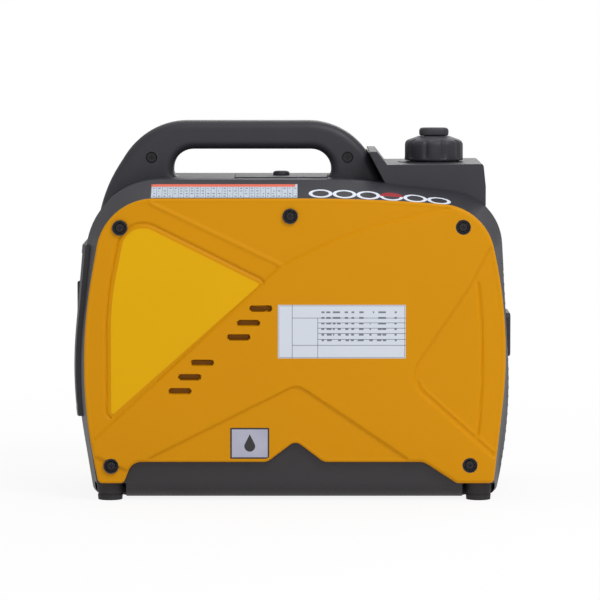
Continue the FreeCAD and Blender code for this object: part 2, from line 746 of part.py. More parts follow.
def crankcase():
    """Hollow aluminium block with bearing bosses, feet and a filler boss."""
    body = box(case_left, case_right, -case_half, case_half, mount_top + 8, deck_of_case)
    body = soften(body, 8, lambda e: e.BoundBox.XLength > 20)
    body = body.cut(box(case_left + case_wall, case_right + 1, -case_half + case_wall,
                        case_half - case_wall,
                        mount_top + 8 + case_wall, deck_of_case - case_wall))
    plate = box(case_left, case_right, -case_half - 26, case_half + 26, mount_top, mount_top + 9)
    boss = rod((case_left, 0, crank_height), "x", bearing_outer + 10, bearing_width + 2)
    cam_boss = rod((case_left + 1, 0, crank_height - cam_drop), "x", 20, 12)
    filler = rod((cylinder_x, -case_half - 12, filler_height), "y", 26, 14)
    body = fuse(body, plate, boss, cam_boss, filler)
    body = cut(body, rod((case_left - 1, 0, crank_height), "x", bearing_outer, bearing_width + 1),
               rod((case_left - 1, 0, crank_height), "x", crank_diameter + 4, 30),
               rod((case_left + 5, 0, crank_height - cam_drop), "x", shaft_clear(cam_diameter), 30),
               rod((cylinder_x, -case_half - 20, filler_height), "y", 16, 30),
               rod((cylinder_x, 0, deck_of_case - 10), "z", bore_diameter + 8, 20))
    holes = [rod((x, y, mount_top - 1), "z", 8.4, 12) for x, y in mount_places]
    return cut(body, *holes)


filler_height = 84.0
cam_diameter = 12.0
cover_thickness = 8.0


def crankcase_cover():
    plate = box(case_right, case_right + cover_thickness, -case_half, case_half, mount_top + 9,
                deck_of_case)
    boss = rod((case_right - 4, 0, crank_height), "x", bearing_outer + 8, cover_thickness + 6)
    cam_boss = rod((case_right - 2, 0, crank_height - cam_drop), "x", 20, 6)
    ribs = [box(case_right, case_right + cover_thickness + 2, y - 1.5, y + 1.5, 62, 100) for y in (-24, 24)]
    cover = fuse(plate, boss, cam_boss, *ribs)
    return cut(cover, rod((case_right - 5, 0, crank_height), "x", bearing_outer, bearing_width + 1),
               rod((case_right - 5, 0, crank_height), "x", crank_diameter + 4, 30),
               rod((case_right - 3, 0, crank_height - cam_drop), "x", shaft_clear(cam_diameter), 9))


def bearings():
    """Two ball bearings, each as inner ring, outer ring and balls."""
    solids = []
    for start in (case_left, case_right - 4):
        place = (start, 0, crank_height)
        middle = (bearing_outer + crank_diameter) / 4
        groove = Part.makeTorus(middle, 4.0, Vector(start + bearing_width / 2, 0, crank_height), AXES["x"])
        outer = ring(place, "x", bearing_outer, 2 * middle + 3, bearing_width).cut(groove)
        inner = ring(place, "x", 2 * middle - 3, shaft_clear(crank_diameter), bearing_width).cut(groove)
        ball = Part.makeSphere(3.9, Vector(start + bearing_width / 2, middle, crank_height))
        solids += [outer, inner] + around(ball, place, "x", 8)
    return solids


def gear(teeth, x0, width, z, first_angle):
    """Spur gear about X at height z; first_angle is where one tooth points, from +Y towards +Z."""
    pitch = tooth_module * teeth / 2
    base = pitch * math.cos(math.radians(20))
    tip = pitch + tooth_module
    root = pitch - 1.25 * tooth_module
    lowest = max(base, root)
    flat = math.tan(math.radians(20)) - math.radians(20)
    half_tooth = math.pi / (2 * teeth) - 0.06 / pitch + flat
    points = []
    for i in range(teeth):
        centre = math.radians(first_angle) + 2 * math.pi * i / teeth
        side = []
        for step in range(5):
            radius = lowest + (tip - lowest) * step / 4
            roll = math.sqrt((radius / base) ** 2 - 1)
            side.append((radius, half_tooth - (roll - math.atan(roll))))
        flank = [(root, side[0][1])] + side
        points += [(r, centre - a) for r, a in flank] + [(r, centre + a) for r, a in reversed(flank)]
    corners = [Vector(x0, r * math.cos(a), z + r * math.sin(a)) for r, a in points]
    face = Part.Face(Part.makePolygon(corners + corners[:1]))
    return face.extrude(Vector(width, 0, 0))


gear_left, gear_width = 17.0, 8.0


def crankshaft():
    """Built-up crank with round webs, timing gear and a tapered nose for the flywheel."""
    left, right = flywheel_left - 5.0, case_right + 18
    shaft = fuse(rod((left, 0, crank_height), "x", crank_diameter, -26 + 1 - left),
                 rod((5, 0, crank_height), "x", crank_diameter, right - 5))
    webs = [rod((x, 0, crank_height), "x", web_diameter, web_width) for x in (-26.0, -6.0)]
    pin = rod((-26 + web_width - 1, 0, crank_height + stroke / 2), "x", 16, 10)
    return fuse(shaft, pin, gear(crank_teeth, gear_left, gear_width, crank_height, -90), *webs)


def camshaft():
    """Cam shaft under the crank, driven at half speed."""
    z = crank_height - cam_drop
    shaft = rod((case_left + 6, 0, z), "x", cam_diameter, case_right + 3 - case_left - 6)
    wheel = gear(cam_teeth, gear_left, gear_width, z, 90 + 180.0 / cam_teeth)
    lobes = []
    for x, angle in ((8.0, 0), (-34.0, 100)):
        lobe = fuse(rod((x, 0, z), "x", 18, 6), rod((x, 5, z), "x", 10, 6))
        lobes.append(turned(lobe, (x, 0, z), "x", angle))
    return fuse(shaft, wheel, *lobes)


def cylinder():
    """Finned barrel and head with ports to both sides."""
    x = cylinder_x
    barrel = rod((x, 0, deck_of_case - 6), "z", bore_diameter + 8 - 0.2, head_low - deck_of_case + 7)
    flange = box(x - 34, x + 34, -34, 34, deck_of_case, deck_of_case + 6)
    fins = [soften(box(x - fin_half, x + fin_half, -fin_half, fin_half, z, z + 2.2), 5,
                   lambda e: e.BoundBox.ZLength > 1) for z in [deck_of_case + 12 + 6.4 * i
                                                               for i in range(7)]]
    head = box(x - fin_half, x + fin_half, -fin_half, fin_half, head_low, head_high)
    head = soften(head, 5, lambda e: e.BoundBox.ZLength > 10)
    cooling = [box(x - 60, x + 60, s * (fin_half - 6) - 7, s * (fin_half - 6) + 7, z, z + 3)
               for s in (1,) for z in (head_low + 4, head_low + 10)]
    block = fuse(barrel, flange, head.cut(Part.makeCompound(cooling)), *fins)
    plug = rod((x, plug_y, head_low - 2), "z", 12, 30)
    port = rod((x + 10, 0, port_height), "x", 16, 60)
    intake = rod((x, -80, port_height), "y", 16, 70)
    return cut(block, rod((x, 0, deck_of_case - 10), "z", bore_diameter, head_low - deck_of_case + 6),
               plug, port,
               intake)


plug_y = 27.0


def rocker_cover():
    x = cylinder_x
    cover = box(x - 36, x + 36, -38, 12, head_high, head_high + 19)
    cover = soften(cover, 5, lambda e: e.BoundBox.ZMax > head_high + 1)
    cover = cover.cut(box(x - 33, x + 33, -35, 9, head_high - 1, head_high + 16))
    bolts = [rod((x + dx, dy, head_high), "z", 8, 22) for dx in (-28, 28) for dy in (-30, 4)]
    return fuse(cover, *bolts)


def spark_plug():
    x = cylinder_x
    thread = rod((x, plug_y, head_low), "z", 11.9, 20)
    hexagon = Part.Face(Part.makePolygon([Vector(x + 9.2 * math.cos(math.pi * i / 3),
                                                 plug_y + 9.2 * math.sin(math.pi * i / 3), head_high)
                                          for i in range(7)])).extrude(Vector(0, 0, 10))
    porcelain = rod((x, plug_y, head_high + 10), "z", 9, 22)
    return fuse(thread, hexagon, porcelain)


def plug_cap():
    """Moulded cap over the plug, with the first stretch of its lead up to the coil."""
    x = cylinder_x
    low = head_high + 14
    body = rod((x, plug_y, low), "z", 20, 34)
    body = body.makeFillet(4, [e for e in body.Edges if e.BoundBox.ZMin > low + 30])
    elbow = rod((x - 40, plug_y, low + 24), "x", 12, 40)
    cap = fuse(body, elbow, lead())
    return cap.cut(rod((x, plug_y, low - 1), "z", 9 + 2 * fit_gap, 20))


def lead():
    """High-tension lead: straight runs and tangent arcs to the ignition coil."""
    x0, z0 = cylinder_x - 38, head_high + 38
    bend = 18.0
    x1 = coil_x
    top = Part.LineSegment(Vector(x0, plug_y, z0), Vector(x1 + bend, plug_y, z0))
    corner = Part.Arc(Vector(x1 + bend, plug_y, z0), Vector(x1 + bend * (1 - math.sin(math.pi / 4)), plug_y,
                                                            z0 - bend * (1 - math.cos(math.pi / 4))),
                      Vector(x1, plug_y, z0 - bend))
    down = Part.LineSegment(Vector(x1, plug_y, z0 - bend), Vector(x1, plug_y, coil_top - 2))
    path = Part.Wire([top.toShape(), corner.toShape(), down.toShape()])
    section = Part.Wire(Part.Circle(Vector(x0, plug_y, z0), AXES["x"], 3.5).toShape())
    return path.makePipeShell([section], True, False)


coil_x = -70.0
coil_top = 232.0
shroud_diameter = fan_diameter + 26.0


def ignition_coil():
    """Coil on the fan shroud's top."""
    seat = crank_height + shroud_diameter / 2 - 1.0
    core = box(coil_x - 14, coil_x + 14, plug_y - 18, plug_y + 18, seat, coil_top - 8)
    core = core.makeFillet(3, [e for e in core.Edges if e.BoundBox.ZMax > seat + 2])
    tower = rod((coil_x, plug_y, coil_top - 10), "z", 14, 10)
    coil = fuse(core, tower).cut(rod((coil_x, plug_y, coil_top - 4), "z", 7 + 2 * fit_gap, 10))
    return coil.cut(rod((-200, 0, crank_height), "x", shroud_diameter, 300))


rim_inner = 116.0


def fan_flywheel():
    """Flywheel hub and back plate with curved blades cast on it."""
    x0 = flywheel_left
    disc = rod((x0 + 22, 0, crank_height), "x", fan_diameter - 6, 5)
    hub = rod((x0 + 4, 0, crank_height), "x", 42, 22)
    blade = Part.makeCylinder(60, 20, Vector(x0 + 3, 0, crank_height), AXES["x"])
    arc = ring((x0 + 3, 24, crank_height - 34), "x", 92, 86, 20)
    keep = blade.cut(rod((x0, 0, crank_height), "x", 46, 40))
    keep = keep.common(box(x0, x0 + 30, 6, 75, crank_height, crank_height + 75))
    rim = ring((x0 + 22, 0, crank_height), "x", rim_inner + 8, rim_inner, 40)
    wheel = fuse(disc, hub, rim, *around(arc.common(keep), (x0, 0, crank_height), "x", 14))
    return wheel.cut(rod((x0 - 1, 0, crank_height), "x", crank_diameter, 60))


def rotor_magnets():
    """Ring of magnet tiles inside the flywheel's rim."""
    x0 = flywheel_left + 30
    full = ring((x0, 0, crank_height), "x", rim_inner - 2 * fit_gap, rim_inner - 12, 28)
    gaps = around(box(x0 - 1, x0 + 40, 0, 80, crank_height - 1.2, crank_height + 1.2), (x0, 0,
                                                                                        crank_height),
                                                                                        "x", 12)
    return full.cut(Part.makeCompound(gaps))


def stator():
    """Wound stator: a core with eighteen poles and coils, fixed to the crankcase."""
    x0 = flywheel_left + 34
    core = ring((x0, 0, crank_height), "x", 72, 46, 20)
    pole = box(x0, x0 + 20, 34, 51, crank_height - 2.6, crank_height + 2.6)
    winding = box(x0 - 3, x0 + 23, 37, 48, crank_height - 6, crank_height + 6)
    core = fuse(core, *around(fuse(pole, winding), (x0, 0, crank_height), "x", 18))
    post = ring((x0 + 10, 0, crank_height), "x", 60, 46, case_left - x0 - 10)
    return fuse(core, post)


def fan_shroud():
    """Round cowl that leads cooling air from the fan over the cylinder."""
    x0 = flywheel_left - 2
    length = case_left - x0
    cowl = ring((x0, 0, crank_height), "x", shroud_diameter, shroud_diameter - 4, length)
    back = ring((case_left - 2.5, 0, crank_height), "x", shroud_diameter, 70, 2.5)
    lip = ring((x0, 0, crank_height), "x", shroud_diameter + 8, shroud_diameter - 4, 3)
    return fuse(cowl, back, lip)


def recoil_housing():
    """Dished starter cover on the shroud, with air slots and a rope exit."""
    x1 = flywheel_left - 2
    x0 = x1 - 26
    outer = rod((x0, 0, crank_height), "x", shroud_diameter + 8, 26)
    outer = outer.makeFillet(6, [e for e in outer.Edges if e.BoundBox.XMax < x0 + 1])
    dish = outer.cut(rod((x0 + 2.5, 0, crank_height), "x", shroud_diameter - 1, 30))
    post = rod((x0 + 1, 0, crank_height), "x", 12, 21)
    slot = turned(box(x0 - 1, x0 + 4, 58, 78, crank_height - 3, crank_height + 3), (0, 0,
                                                                                    crank_height), "x", 11)
    exit_hole = rod((grip_x, 0, grip_z), "y", rope_diameter + 4, 120)
    return cut(fuse(dish, post), exit_hole, *around(slot, (x0, 0, crank_height), "x", 16))


def recoil_pulley():
    """Rope drum on the starter cover's post, with three turns of rope wound on it."""
    x0 = grip_x - 7
    drum = rod((x0, 0, crank_height), "x", pulley_diameter + 4, 14)
    groove = ring((x0 + 2.9, 0, crank_height), "x", pulley_diameter + 10, pulley_diameter - 14, 8.2)
    wheel = drum.cut(groove).cut(rod((x0 - 1, 0, crank_height), "x", shaft_clear(12), 30))
    pockets = around(rod((x0 - 1, 28, crank_height), "x", 16, 20), (x0, 0, crank_height), "x", 6)
    return cut(wheel, *pockets)


def wound_rope():
    """The rope's first layer, lying in the drum's groove."""
    return [Part.makeTorus(wound_radius, rope_diameter / 2, Vector(grip_x + side * 2.03, 0,
                                                                   crank_height), AXES["x"])
            for side in (-1, 1)]


grip_length, grip_height, grip_depth = 78.0, 20.0, 17.0
grip_face = half_width - 1.0


def starter_rope():
    """The straight stretch from the drum's tangent to the grip."""
    return rod((grip_x, 8, grip_z), "y", rope_diameter, grip_face - 6 - 8)


def starter_grip():
    """Waisted T bar that sits in the right cover's pocket."""
    y0 = grip_face - grip_depth
    half = grip_length / 2
    wire = rounded([(grip_x - half, grip_z - grip_height / 2, 6), (grip_x - half,
                                                                   grip_z + grip_height / 2, 6),
                    (grip_x, grip_z + grip_height / 2 - 3, 60), (grip_x + half,
                                                                 grip_z + grip_height / 2, 6),
                    (grip_x + half, grip_z - grip_height / 2, 6), (grip_x,
                                                                   grip_z - grip_height / 2 + 3, 60)])
    bar = slab(wire, y0, grip_face)
    bar = soften(bar, 2.5, lambda e: e.BoundBox.YLength < 0.01)
    return bar.cut(rod((grip_x, y0 - 1, grip_z), "y", rope_diameter, grip_depth - 4))


def rope_guide():
    """Flanged bush in the pocket's floor."""
    floor = half_width - pocket_depth
    bush = fuse(rod((grip_x, floor - wall - 3, grip_z), "y", guide_diameter - 0.1, wall + 3),
                rod((grip_x, floor, grip_z), "y", guide_diameter + 6, 1.5))
    return bush.cut(rod((grip_x, floor - 20, grip_z), "y", rope_diameter + 1.0, 40))


# ---------------------------------------------------------------- intake side
carb_far = -78.0
throttle_y = -60.0


def carburettor():
    x = cylinder_x
    tube = rod((x, carb_far, port_height), "y", 30, -fin_half - carb_far)
    bowl = rod((x, -62, port_height - 40), "z", 30, 28)
    bridge = box(x - 11, x + 11, -73, -51, port_height - 18, port_height)
    motor = box(x - 14, x + 14, -74, -46, port_height + 17, port_height + 34)
    riser = rod((x, throttle_y, port_height), "z", 12, 20)
    body = fuse(tube, bowl, bridge, motor, riser)
    return cut(body, rod((x, -90, port_height), "y", 18, 60), rod((x, throttle_y, port_height - 12), "z",
                                                                 shaft_clear(4), 34))


def throttle_valve():
    """Butterfly plate and spindle, shown closed."""
    x = cylinder_x
    plate = rod((x, throttle_y - 0.6, port_height), "y", 18 - 2 * running_gap, 1.2)
    spindle = rod((x, throttle_y, port_height - 11), "z", 4, 32)
    return fuse(plate, spindle)


def air_cleaner_case():
    """Box over the carburettor's mouth, with a snorkel."""
    x0, x1, z0, z1 = -70.0, 40.0, 196.0, 268.0
    y0 = -106.0
    case = rounded_box(x0, x1, y0, carb_far, z0, z1, 4)
    inner = box(x0 + 2.5, x1 - 2.5, y0 + 2.5, carb_far - 2.5, z0 + 2.5, z1 - 2.5)
    mouth = rod((cylinder_x, carb_far - 5, port_height), "y", 18, 10)
    snorkel = ring((-84, -92, z0 + 16), "x", 18, 14, 15)
    return fuse(case.cut(inner).cut(rod((x0 - 1, -92, z0 + 16), "x", 14, 6)), snorkel).cut(mouth)


def filter_foam():
    return box(-67.2, 37.2, -103.2, -92, 198.8, 265.2)


def oil_filler_cap():
    """Dipstick cap screwed in the filler boss, with a grip rib."""
    x, y = cylinder_x, -case_half - 12
    cap = rod((x, y - 8 - running_gap, filler_height), "y", 28, 8)
    rib = box(x - 12, x + 12, y - 16, y - 7, filler_height - 3, filler_height + 3)
    stem = rod((x, y - 1, filler_height), "y", 16 - 2 * fit_gap, 12)
    stick = rod((x, y + 10, filler_height), "y", 4, 24)
    return fuse(cap, rib, stem, stick)


# ---------------------------------------------------------------- exhaust
muffler_box = (56.0, 190.0, -58.0, 58.0, 98.0, 214.0)
bend_radius = 18.0
pipe_diameter = 20.0


def muffler():
    """Rolled sheet can, hollow, with a tailpipe and a pipe socket on top."""
    x0, x1, y0, y1, z0, z1 = muffler_box
    can = box(x0, x1, y0, y1, z0, z1)
    can = soften(can, 16, lambda e: e.BoundBox.XLength > 50)
    core = box(x0 + 1.5, x1 - 1.5, y0 + 1.5, y1 - 1.5, z0 + 1.5, z1 - 1.5)
    core = soften(core, 14.5, lambda e: e.BoundBox.XLength > 50)
    seams = [soften(box(x, x + 3, y0 - 2, y1 + 2, z0 - 2, z1 + 2), 18, lambda e: e.BoundBox.XLength > 1)
             for x in (x0, x1 - 3)]
    tail = ring((x1 - 3, 0, tail_height), "x", tail_diameter, tail_diameter - 4, half_length - 3.5 - x1 + 3)
    can = fuse(can, tail, *seams)
    inlet = rod((x0 + pipe_drop, 0, z1 - 5), "z", pipe_diameter - 4, 10)
    return cut(can, core, inlet, rod((x1 - 5, 0, tail_height), "x", tail_diameter - 4, 60))


pipe_drop = 22.0


def exhaust_pipe():
    """Pipe from the head's port, round a quarter bend, down into the muffler."""
    start = cylinder_x + fin_half
    drop = muffler_box[0] + pipe_drop
    turn_x = drop - bend_radius
    z = port_height
    top = Part.LineSegment(Vector(start, 0, z), Vector(turn_x, 0, z))
    corner = Part.Arc(Vector(turn_x, 0, z),
                      Vector(turn_x + bend_radius * math.sin(math.pi / 4), 0,
                             z - bend_radius * (1 - math.cos(math.pi / 4))),
                      Vector(drop, 0, z - bend_radius))
    down = Part.LineSegment(Vector(drop, 0, z - bend_radius), Vector(drop, 0, muffler_box[5]))
    path = Part.Wire([top.toShape(), corner.toShape(), down.toShape()])
    tubes = [path.makePipeShell([Part.Wire(Part.Circle(Vector(start, 0, z), AXES["x"],
                                                       d / 2).toShape())], True,
                                False) for d in (pipe_diameter, pipe_diameter - 4)]
    flange = box(start, start + 5, -20, 20, z - 14, z + 14)
    foot = ring((drop, 0, muffler_box[5]), "z", pipe_diameter + 12, pipe_diameter, 3)
    return cut(fuse(tubes[0], flange, foot), tubes[1], rod((start - 1, 0, z), "x", pipe_diameter - 4, 8))


def spark_arrester():
    """Screen cup inside the tailpipe's end."""
    x1 = half_length - 4.5
    cup = ring((x1 - 22, 0, tail_height), "x", tail_diameter - 4 - 0.2, tail_diameter - 6, 22)
    return fuse(cup, rod((x1 - 24, 0, tail_height), "x", tail_diameter - 4 - 0.2, 2))


def muffler_bracket():
    """Bent strap that stands on the tray and carries the muffler."""
    z0 = floor_gap + wall
    x0, x1, y0, y1 = 118.0, 142.0, -50.0, 50.0
    strap = box(x0, x1, y0, y1, z0, muffler_box[4])
    strap = strap.cut(box(x0 - 1, x1 + 1, y0 + 3, y1 - 3, z0 - 1, muffler_box[4] - 3))
    feet = [box(x0, x1, y1 - 1, y1 + 20, z0, z0 + 3), box(x0, x1, y0 - 20, y0 + 1, z0, z0 + 3)]
    return fuse(strap, *feet)


shield_sheet = 1.5


def heat_shield():
    """Sheet between muffler and tank, resting in the housing's sides."""
    reach = 76.0
    sheet = box(92, 200, -reach, reach, tank_bottom - running_gap - shield_sheet, tank_bottom - running_gap)
    return sheet


def shield_ledges():
    """Rails inside a housing half that hold the shield and the tank above it."""
    rail = box(72, 196, -frame_half_width + wall - 1, -68, tank_bottom - 8,
               tank_bottom - running_gap - shield_sheet)
    return rail.common(case_outer)


def inverter_unit():
    """Finned aluminium block with a potted lid."""
    x0, x1, y0, y1, z0, z1 = -184.0, -156.0, -78.0, 78.0, inverter_low, 205.0
    body = box(x0 + 8, x1, y0, y1, z0, z1)
    fins = [box(x0, x0 + 9, y - 1.2, y + 1.2, z0, z1) for y in range(-76, 77, 8)]
    return fuse(body, *fins)


def engine_mounts():
    low = floor_gap + 1 + wall + 3
    solids = []
    for x, y in mount_places:
        rubber = rod((x, y, low), "z", 24, mount_top - low)
        waist = ring((x, y, low + 8), "z", 30, 19, 8)
        solids.append(fuse(rubber.cut(waist), rod((x, y, mount_top), "z", 8, 14),
                           rod((x, y, mount_top + 9), "z", 14, 5)))
    return solids


def indicator_lights():
    lights = []
    for y, z in light_places:
        lens = pin_x(y, z, 8, 1.5, 1.5)
        lights.append(fuse(lens, pin_x(y, z, 6, 10)))
    return lights


# ---------------------------------------------------------------- write every piece
os.makedirs("parts", exist_ok=True)

left_cover = side_cover()
near_housing = housing_half()
housing_left = fuse(near_housing, shield_ledges())
housing_right = mirrored(housing_left)
for place in handle_screws:
    housing_left = housing_left.cut(handle_screw_cut(*place, near=True))
    housing_right = housing_right.cut(handle_screw_cut(*place, near=False))
pocket_floor = half_width - pocket_depth - wall - running_gap
housing_right = housing_right.cut(slab(pocket_wire(-wall - running_gap), pocket_floor, half_width))
screws = [cover_screw(x, z) for x, z in cover_screws]

export("left_side_cover", left_cover)
export("right_side_cover", right_cover())
export("housing_left", housing_left)
export("housing_right", housing_right)
export("base_tray", base_tray())
export("rubber_feet", *[rubber_foot(x, y) for x, y in foot_places])
export("side_cover_screws", *(screws + [mirrored(s) for s in screws]))
export("handle_screws", *[handle_screw(x, z) for x, z in handle_screws])
export("spark_plug_lid", spark_lid())
export("spark_plug_lid_knob", spark_lid_knob())
export("tank_cover", tank_cover())
export("fuel_tank", fuel_tank())
export("fuel_cap", fuel_cap())
export("cap_gasket", cap_gasket())
export("vent_knob", vent_knob())
export("filler_strainer", filler_strainer())
export("control_panel", control_panel())
export("ac_outlets", *[outlet(y, z) for y, z in outlet_places])
export("dc_socket", dc_socket())
export("usb_socket", usb_socket())
export("breaker_body", breaker_body())
export("breaker_button", breaker_button())
export("engine_switch_knob", switch_knob())
export("eco_rocker", eco_rocker())
export("indicator_lights", *indicator_lights())
export("earth_terminal", earth_terminal())
export("inverter_unit", inverter_unit())
export("rear_grille", rear_grille())
export("exhaust_surround", exhaust_surround())
export("muffler", muffler())
export("exhaust_pipe", exhaust_pipe())
export("spark_arrester", spark_arrester())
export("muffler_bracket", muffler_bracket())
export("heat_shield", heat_shield())
export("crankcase", crankcase())
export("crankcase_cover", crankcase_cover())
export("bearings", *bearings())
export("crankshaft", crankshaft())
export("camshaft", camshaft())
export("cylinder", cylinder())
export("rocker_cover", rocker_cover())
export("spark_plug", spark_plug())
export("plug_cap", plug_cap())
export("ignition_coil", ignition_coil())
export("fan_flywheel", fan_flywheel())
export("rotor_magnets", rotor_magnets())
export("stator", stator())
export("fan_shroud", fan_shroud())
export("recoil_housing", recoil_housing())
export("recoil_pulley", recoil_pulley())
export("wound_rope", *wound_rope())
export("starter_rope", starter_rope())
export("starter_grip", starter_grip())
export("rope_guide", rope_guide())
export("carburettor", carburettor())
export("throttle_valve", throttle_valve())
export("air_cleaner_case", air_cleaner_case())
export("filter_foam", filter_foam())
export("oil_filler_cap", oil_filler_cap())
export("engine_mounts", *engine_mounts())
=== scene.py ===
import bpy
import json
import math
import numpy as np
from mathutils import Euler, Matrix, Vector
from mathutils.bvhtree import BVHTree


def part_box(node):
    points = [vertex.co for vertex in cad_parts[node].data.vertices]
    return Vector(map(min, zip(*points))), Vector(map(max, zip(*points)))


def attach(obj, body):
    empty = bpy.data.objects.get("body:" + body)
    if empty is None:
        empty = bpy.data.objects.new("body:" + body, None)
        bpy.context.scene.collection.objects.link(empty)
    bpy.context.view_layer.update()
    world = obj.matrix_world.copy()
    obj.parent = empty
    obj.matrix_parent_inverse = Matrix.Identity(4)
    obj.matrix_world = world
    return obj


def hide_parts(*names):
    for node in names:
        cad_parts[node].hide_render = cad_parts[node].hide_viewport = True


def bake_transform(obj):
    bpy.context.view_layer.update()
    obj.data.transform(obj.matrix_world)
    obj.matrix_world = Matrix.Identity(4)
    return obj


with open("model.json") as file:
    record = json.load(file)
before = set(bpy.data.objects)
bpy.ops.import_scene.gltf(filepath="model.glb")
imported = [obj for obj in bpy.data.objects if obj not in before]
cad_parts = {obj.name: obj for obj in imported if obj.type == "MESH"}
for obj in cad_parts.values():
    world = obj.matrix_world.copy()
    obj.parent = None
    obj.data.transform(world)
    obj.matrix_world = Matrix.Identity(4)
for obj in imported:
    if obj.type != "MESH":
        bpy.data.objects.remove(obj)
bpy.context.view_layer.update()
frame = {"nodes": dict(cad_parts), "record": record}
nodes = frame["nodes"]
mm = 0.001
print("frame loaded:", len(nodes), "nodes")


# Camera and light
studio = {
    "lookAt": (0.00666, 0.0, 0.19818),   # middle of the view
    "distance": 4.0,
    "elevation": 4.7,                    # degrees above level
    "lens": 227.27,
    "skyStrength": 0.6,
    "lamps": [                           # name, place, size, watts
        ("keyLamp", (0.9, -1.35, 1.95), 0.9, 24.0),
        ("fillLamp", (0.6, -3.2, 0.5), 1.4, 9.0),
        ("topLamp", (-0.2, 0.6, 2.4), 1.6, 6.0),
        ("backLamp", (0.6, 2.6, 1.5), 1.8, 18.0),
    ],
}


def placeCamera(spec):
    # the camera stands back from the look-at point along a line tilted up by the elevation
    tilt = math.radians(spec["elevation"])
    data = bpy.data.cameras.new("view")
    data.lens = spec["lens"]
    data.sensor_width = 36.0
    camera = bpy.data.objects.new("view", data)
    target = Vector(spec["lookAt"])
    camera.location = target + spec["distance"] * Vector((0, -math.cos(tilt), math.sin(tilt)))
    camera.rotation_euler = Euler((math.pi / 2 - tilt, 0, 0))
    bpy.context.scene.collection.objects.link(camera)
    bpy.context.scene.camera = camera
    return target


def placeLamps(spec, target):
    # each square lamp faces the look-at point
    for name, place, size, watts in spec["lamps"]:
        data = bpy.data.lights.new(name, "AREA")
        data.shape = "SQUARE"
        data.size = size
        data.energy = watts
        lamp = bpy.data.objects.new(name, data)
        lamp.location = place
        lamp.rotation_euler = (target - Vector(place)).to_track_quat("-Z", "Y").to_euler()
        bpy.context.scene.collection.objects.link(lamp)


# Shader maths
class Wire:
    # a socket that adds a Math node for each step of a formula it is used in
    def __init__(self, tree, socket):
        self.tree = tree
        self.socket = socket

    def pick(self, name):
        return Wire(self.tree, self.socket.node.outputs[name])

    def maths(self, operation, *terms):
        node = self.tree.nodes.new("ShaderNodeMath")
        node.operation = operation
        for slot, term in zip(node.inputs, terms):
            if isinstance(term, Wire):
                self.tree.links.new(term.socket, slot)
            else:
                slot.default_value = term
        return Wire(self.tree, node.outputs[0])

    def __add__(self, other):
        return self.maths("ADD", self, other)

    def __radd__(self, other):
        return self.maths("ADD", other, self)

    def __sub__(self, other):
        return self.maths("SUBTRACT", self, other)

    def __rsub__(self, other):
        return self.maths("SUBTRACT", other, self)

    def __mul__(self, other):
        return self.maths("MULTIPLY", self, other)

    def __rmul__(self, other):
        return self.maths("MULTIPLY", other, self)

    def __truediv__(self, other):
        return self.maths("DIVIDE", self, other)

    def __lt__(self, other):
        return self.maths("LESS_THAN", self, other)

    def __gt__(self, other):
        return self.maths("GREATER_THAN", self, other)

    def __abs__(self):
        return self.maths("ABSOLUTE", self)

    def upTo(self, other):
        return self.maths("MAXIMUM", self, other)

    def atMost(self, other):
        return self.maths("MINIMUM", self, other)

    def sine(self):
        return self.maths("SINE", self)

    def root(self):
        return self.maths("SQRT", self)

    def fraction(self):
        return self.maths("FRACT", self)


class Finish:
    # one material: its shader, and a method that makes any other node in it
    def __init__(self, name):
        self.material = bpy.data.materials.new(name)
        self.material.use_nodes = True
        self.tree = self.material.node_tree
        self.tree.nodes.clear()

    def make(self, kind, settings=None, inputs=None):
        node = self.tree.nodes.new(kind)
        for key, value in (settings or {}).items():
            setattr(node, key, value)
        for key, value in (inputs or {}).items():
            slot = node.inputs[key]
            if isinstance(value, Wire):
                self.tree.links.new(value.socket, slot)
            else:
                slot.default_value = value
        return Wire(self.tree, node.outputs[0]) if node.outputs else node

    def place(self):
        return self.make("ShaderNodeTexCoord").pick("Object")

    def axes(self):
        parts = self.make("ShaderNodeSeparateXYZ", inputs={"Vector": self.place()})
        return parts.pick("X"), parts.pick("Y"), parts.pick("Z")

    def noise(self, scale, detail=2.0, stretch=(1, 1, 1)):
        spot = self.place()
        if stretch != (1, 1, 1):
            spot = self.make("ShaderNodeMapping", {"vector_type": "POINT"},
                             {"Vector": spot, "Scale": stretch})
        return self.make("ShaderNodeTexNoise", inputs={"Vector": spot, "Scale": scale,
                                                       "Detail": detail}).pick("Fac")

    def blend(self, factor, first, second):
        node = self.make("ShaderNodeMix", {"data_type": "RGBA"}).socket.node
        for index, value in ((0, factor), (6, first), (7, second)):
            if isinstance(value, Wire):
                self.tree.links.new(value.socket, node.inputs[index])
            else:
                node.inputs[index].default_value = value
        return Wire(self.tree, node.outputs[2])

    def surface(self, inputs):
        shader = self.make("ShaderNodeBsdfPrincipled", inputs=inputs)
        self.make("ShaderNodeOutputMaterial", inputs={"Surface": shader})
        return self.material


def shade(red, green, blue, factor=1.0):
    # a colour written as 0 to 255 screen values, turned to linear light
    def linear(value):
        value = value / 255
        return value / 12.92 if value <= 0.04045 else ((value + 0.055) / 1.055) ** 2.4
    return (linear(red) * factor, linear(green) * factor, linear(blue) * factor, 1.0)


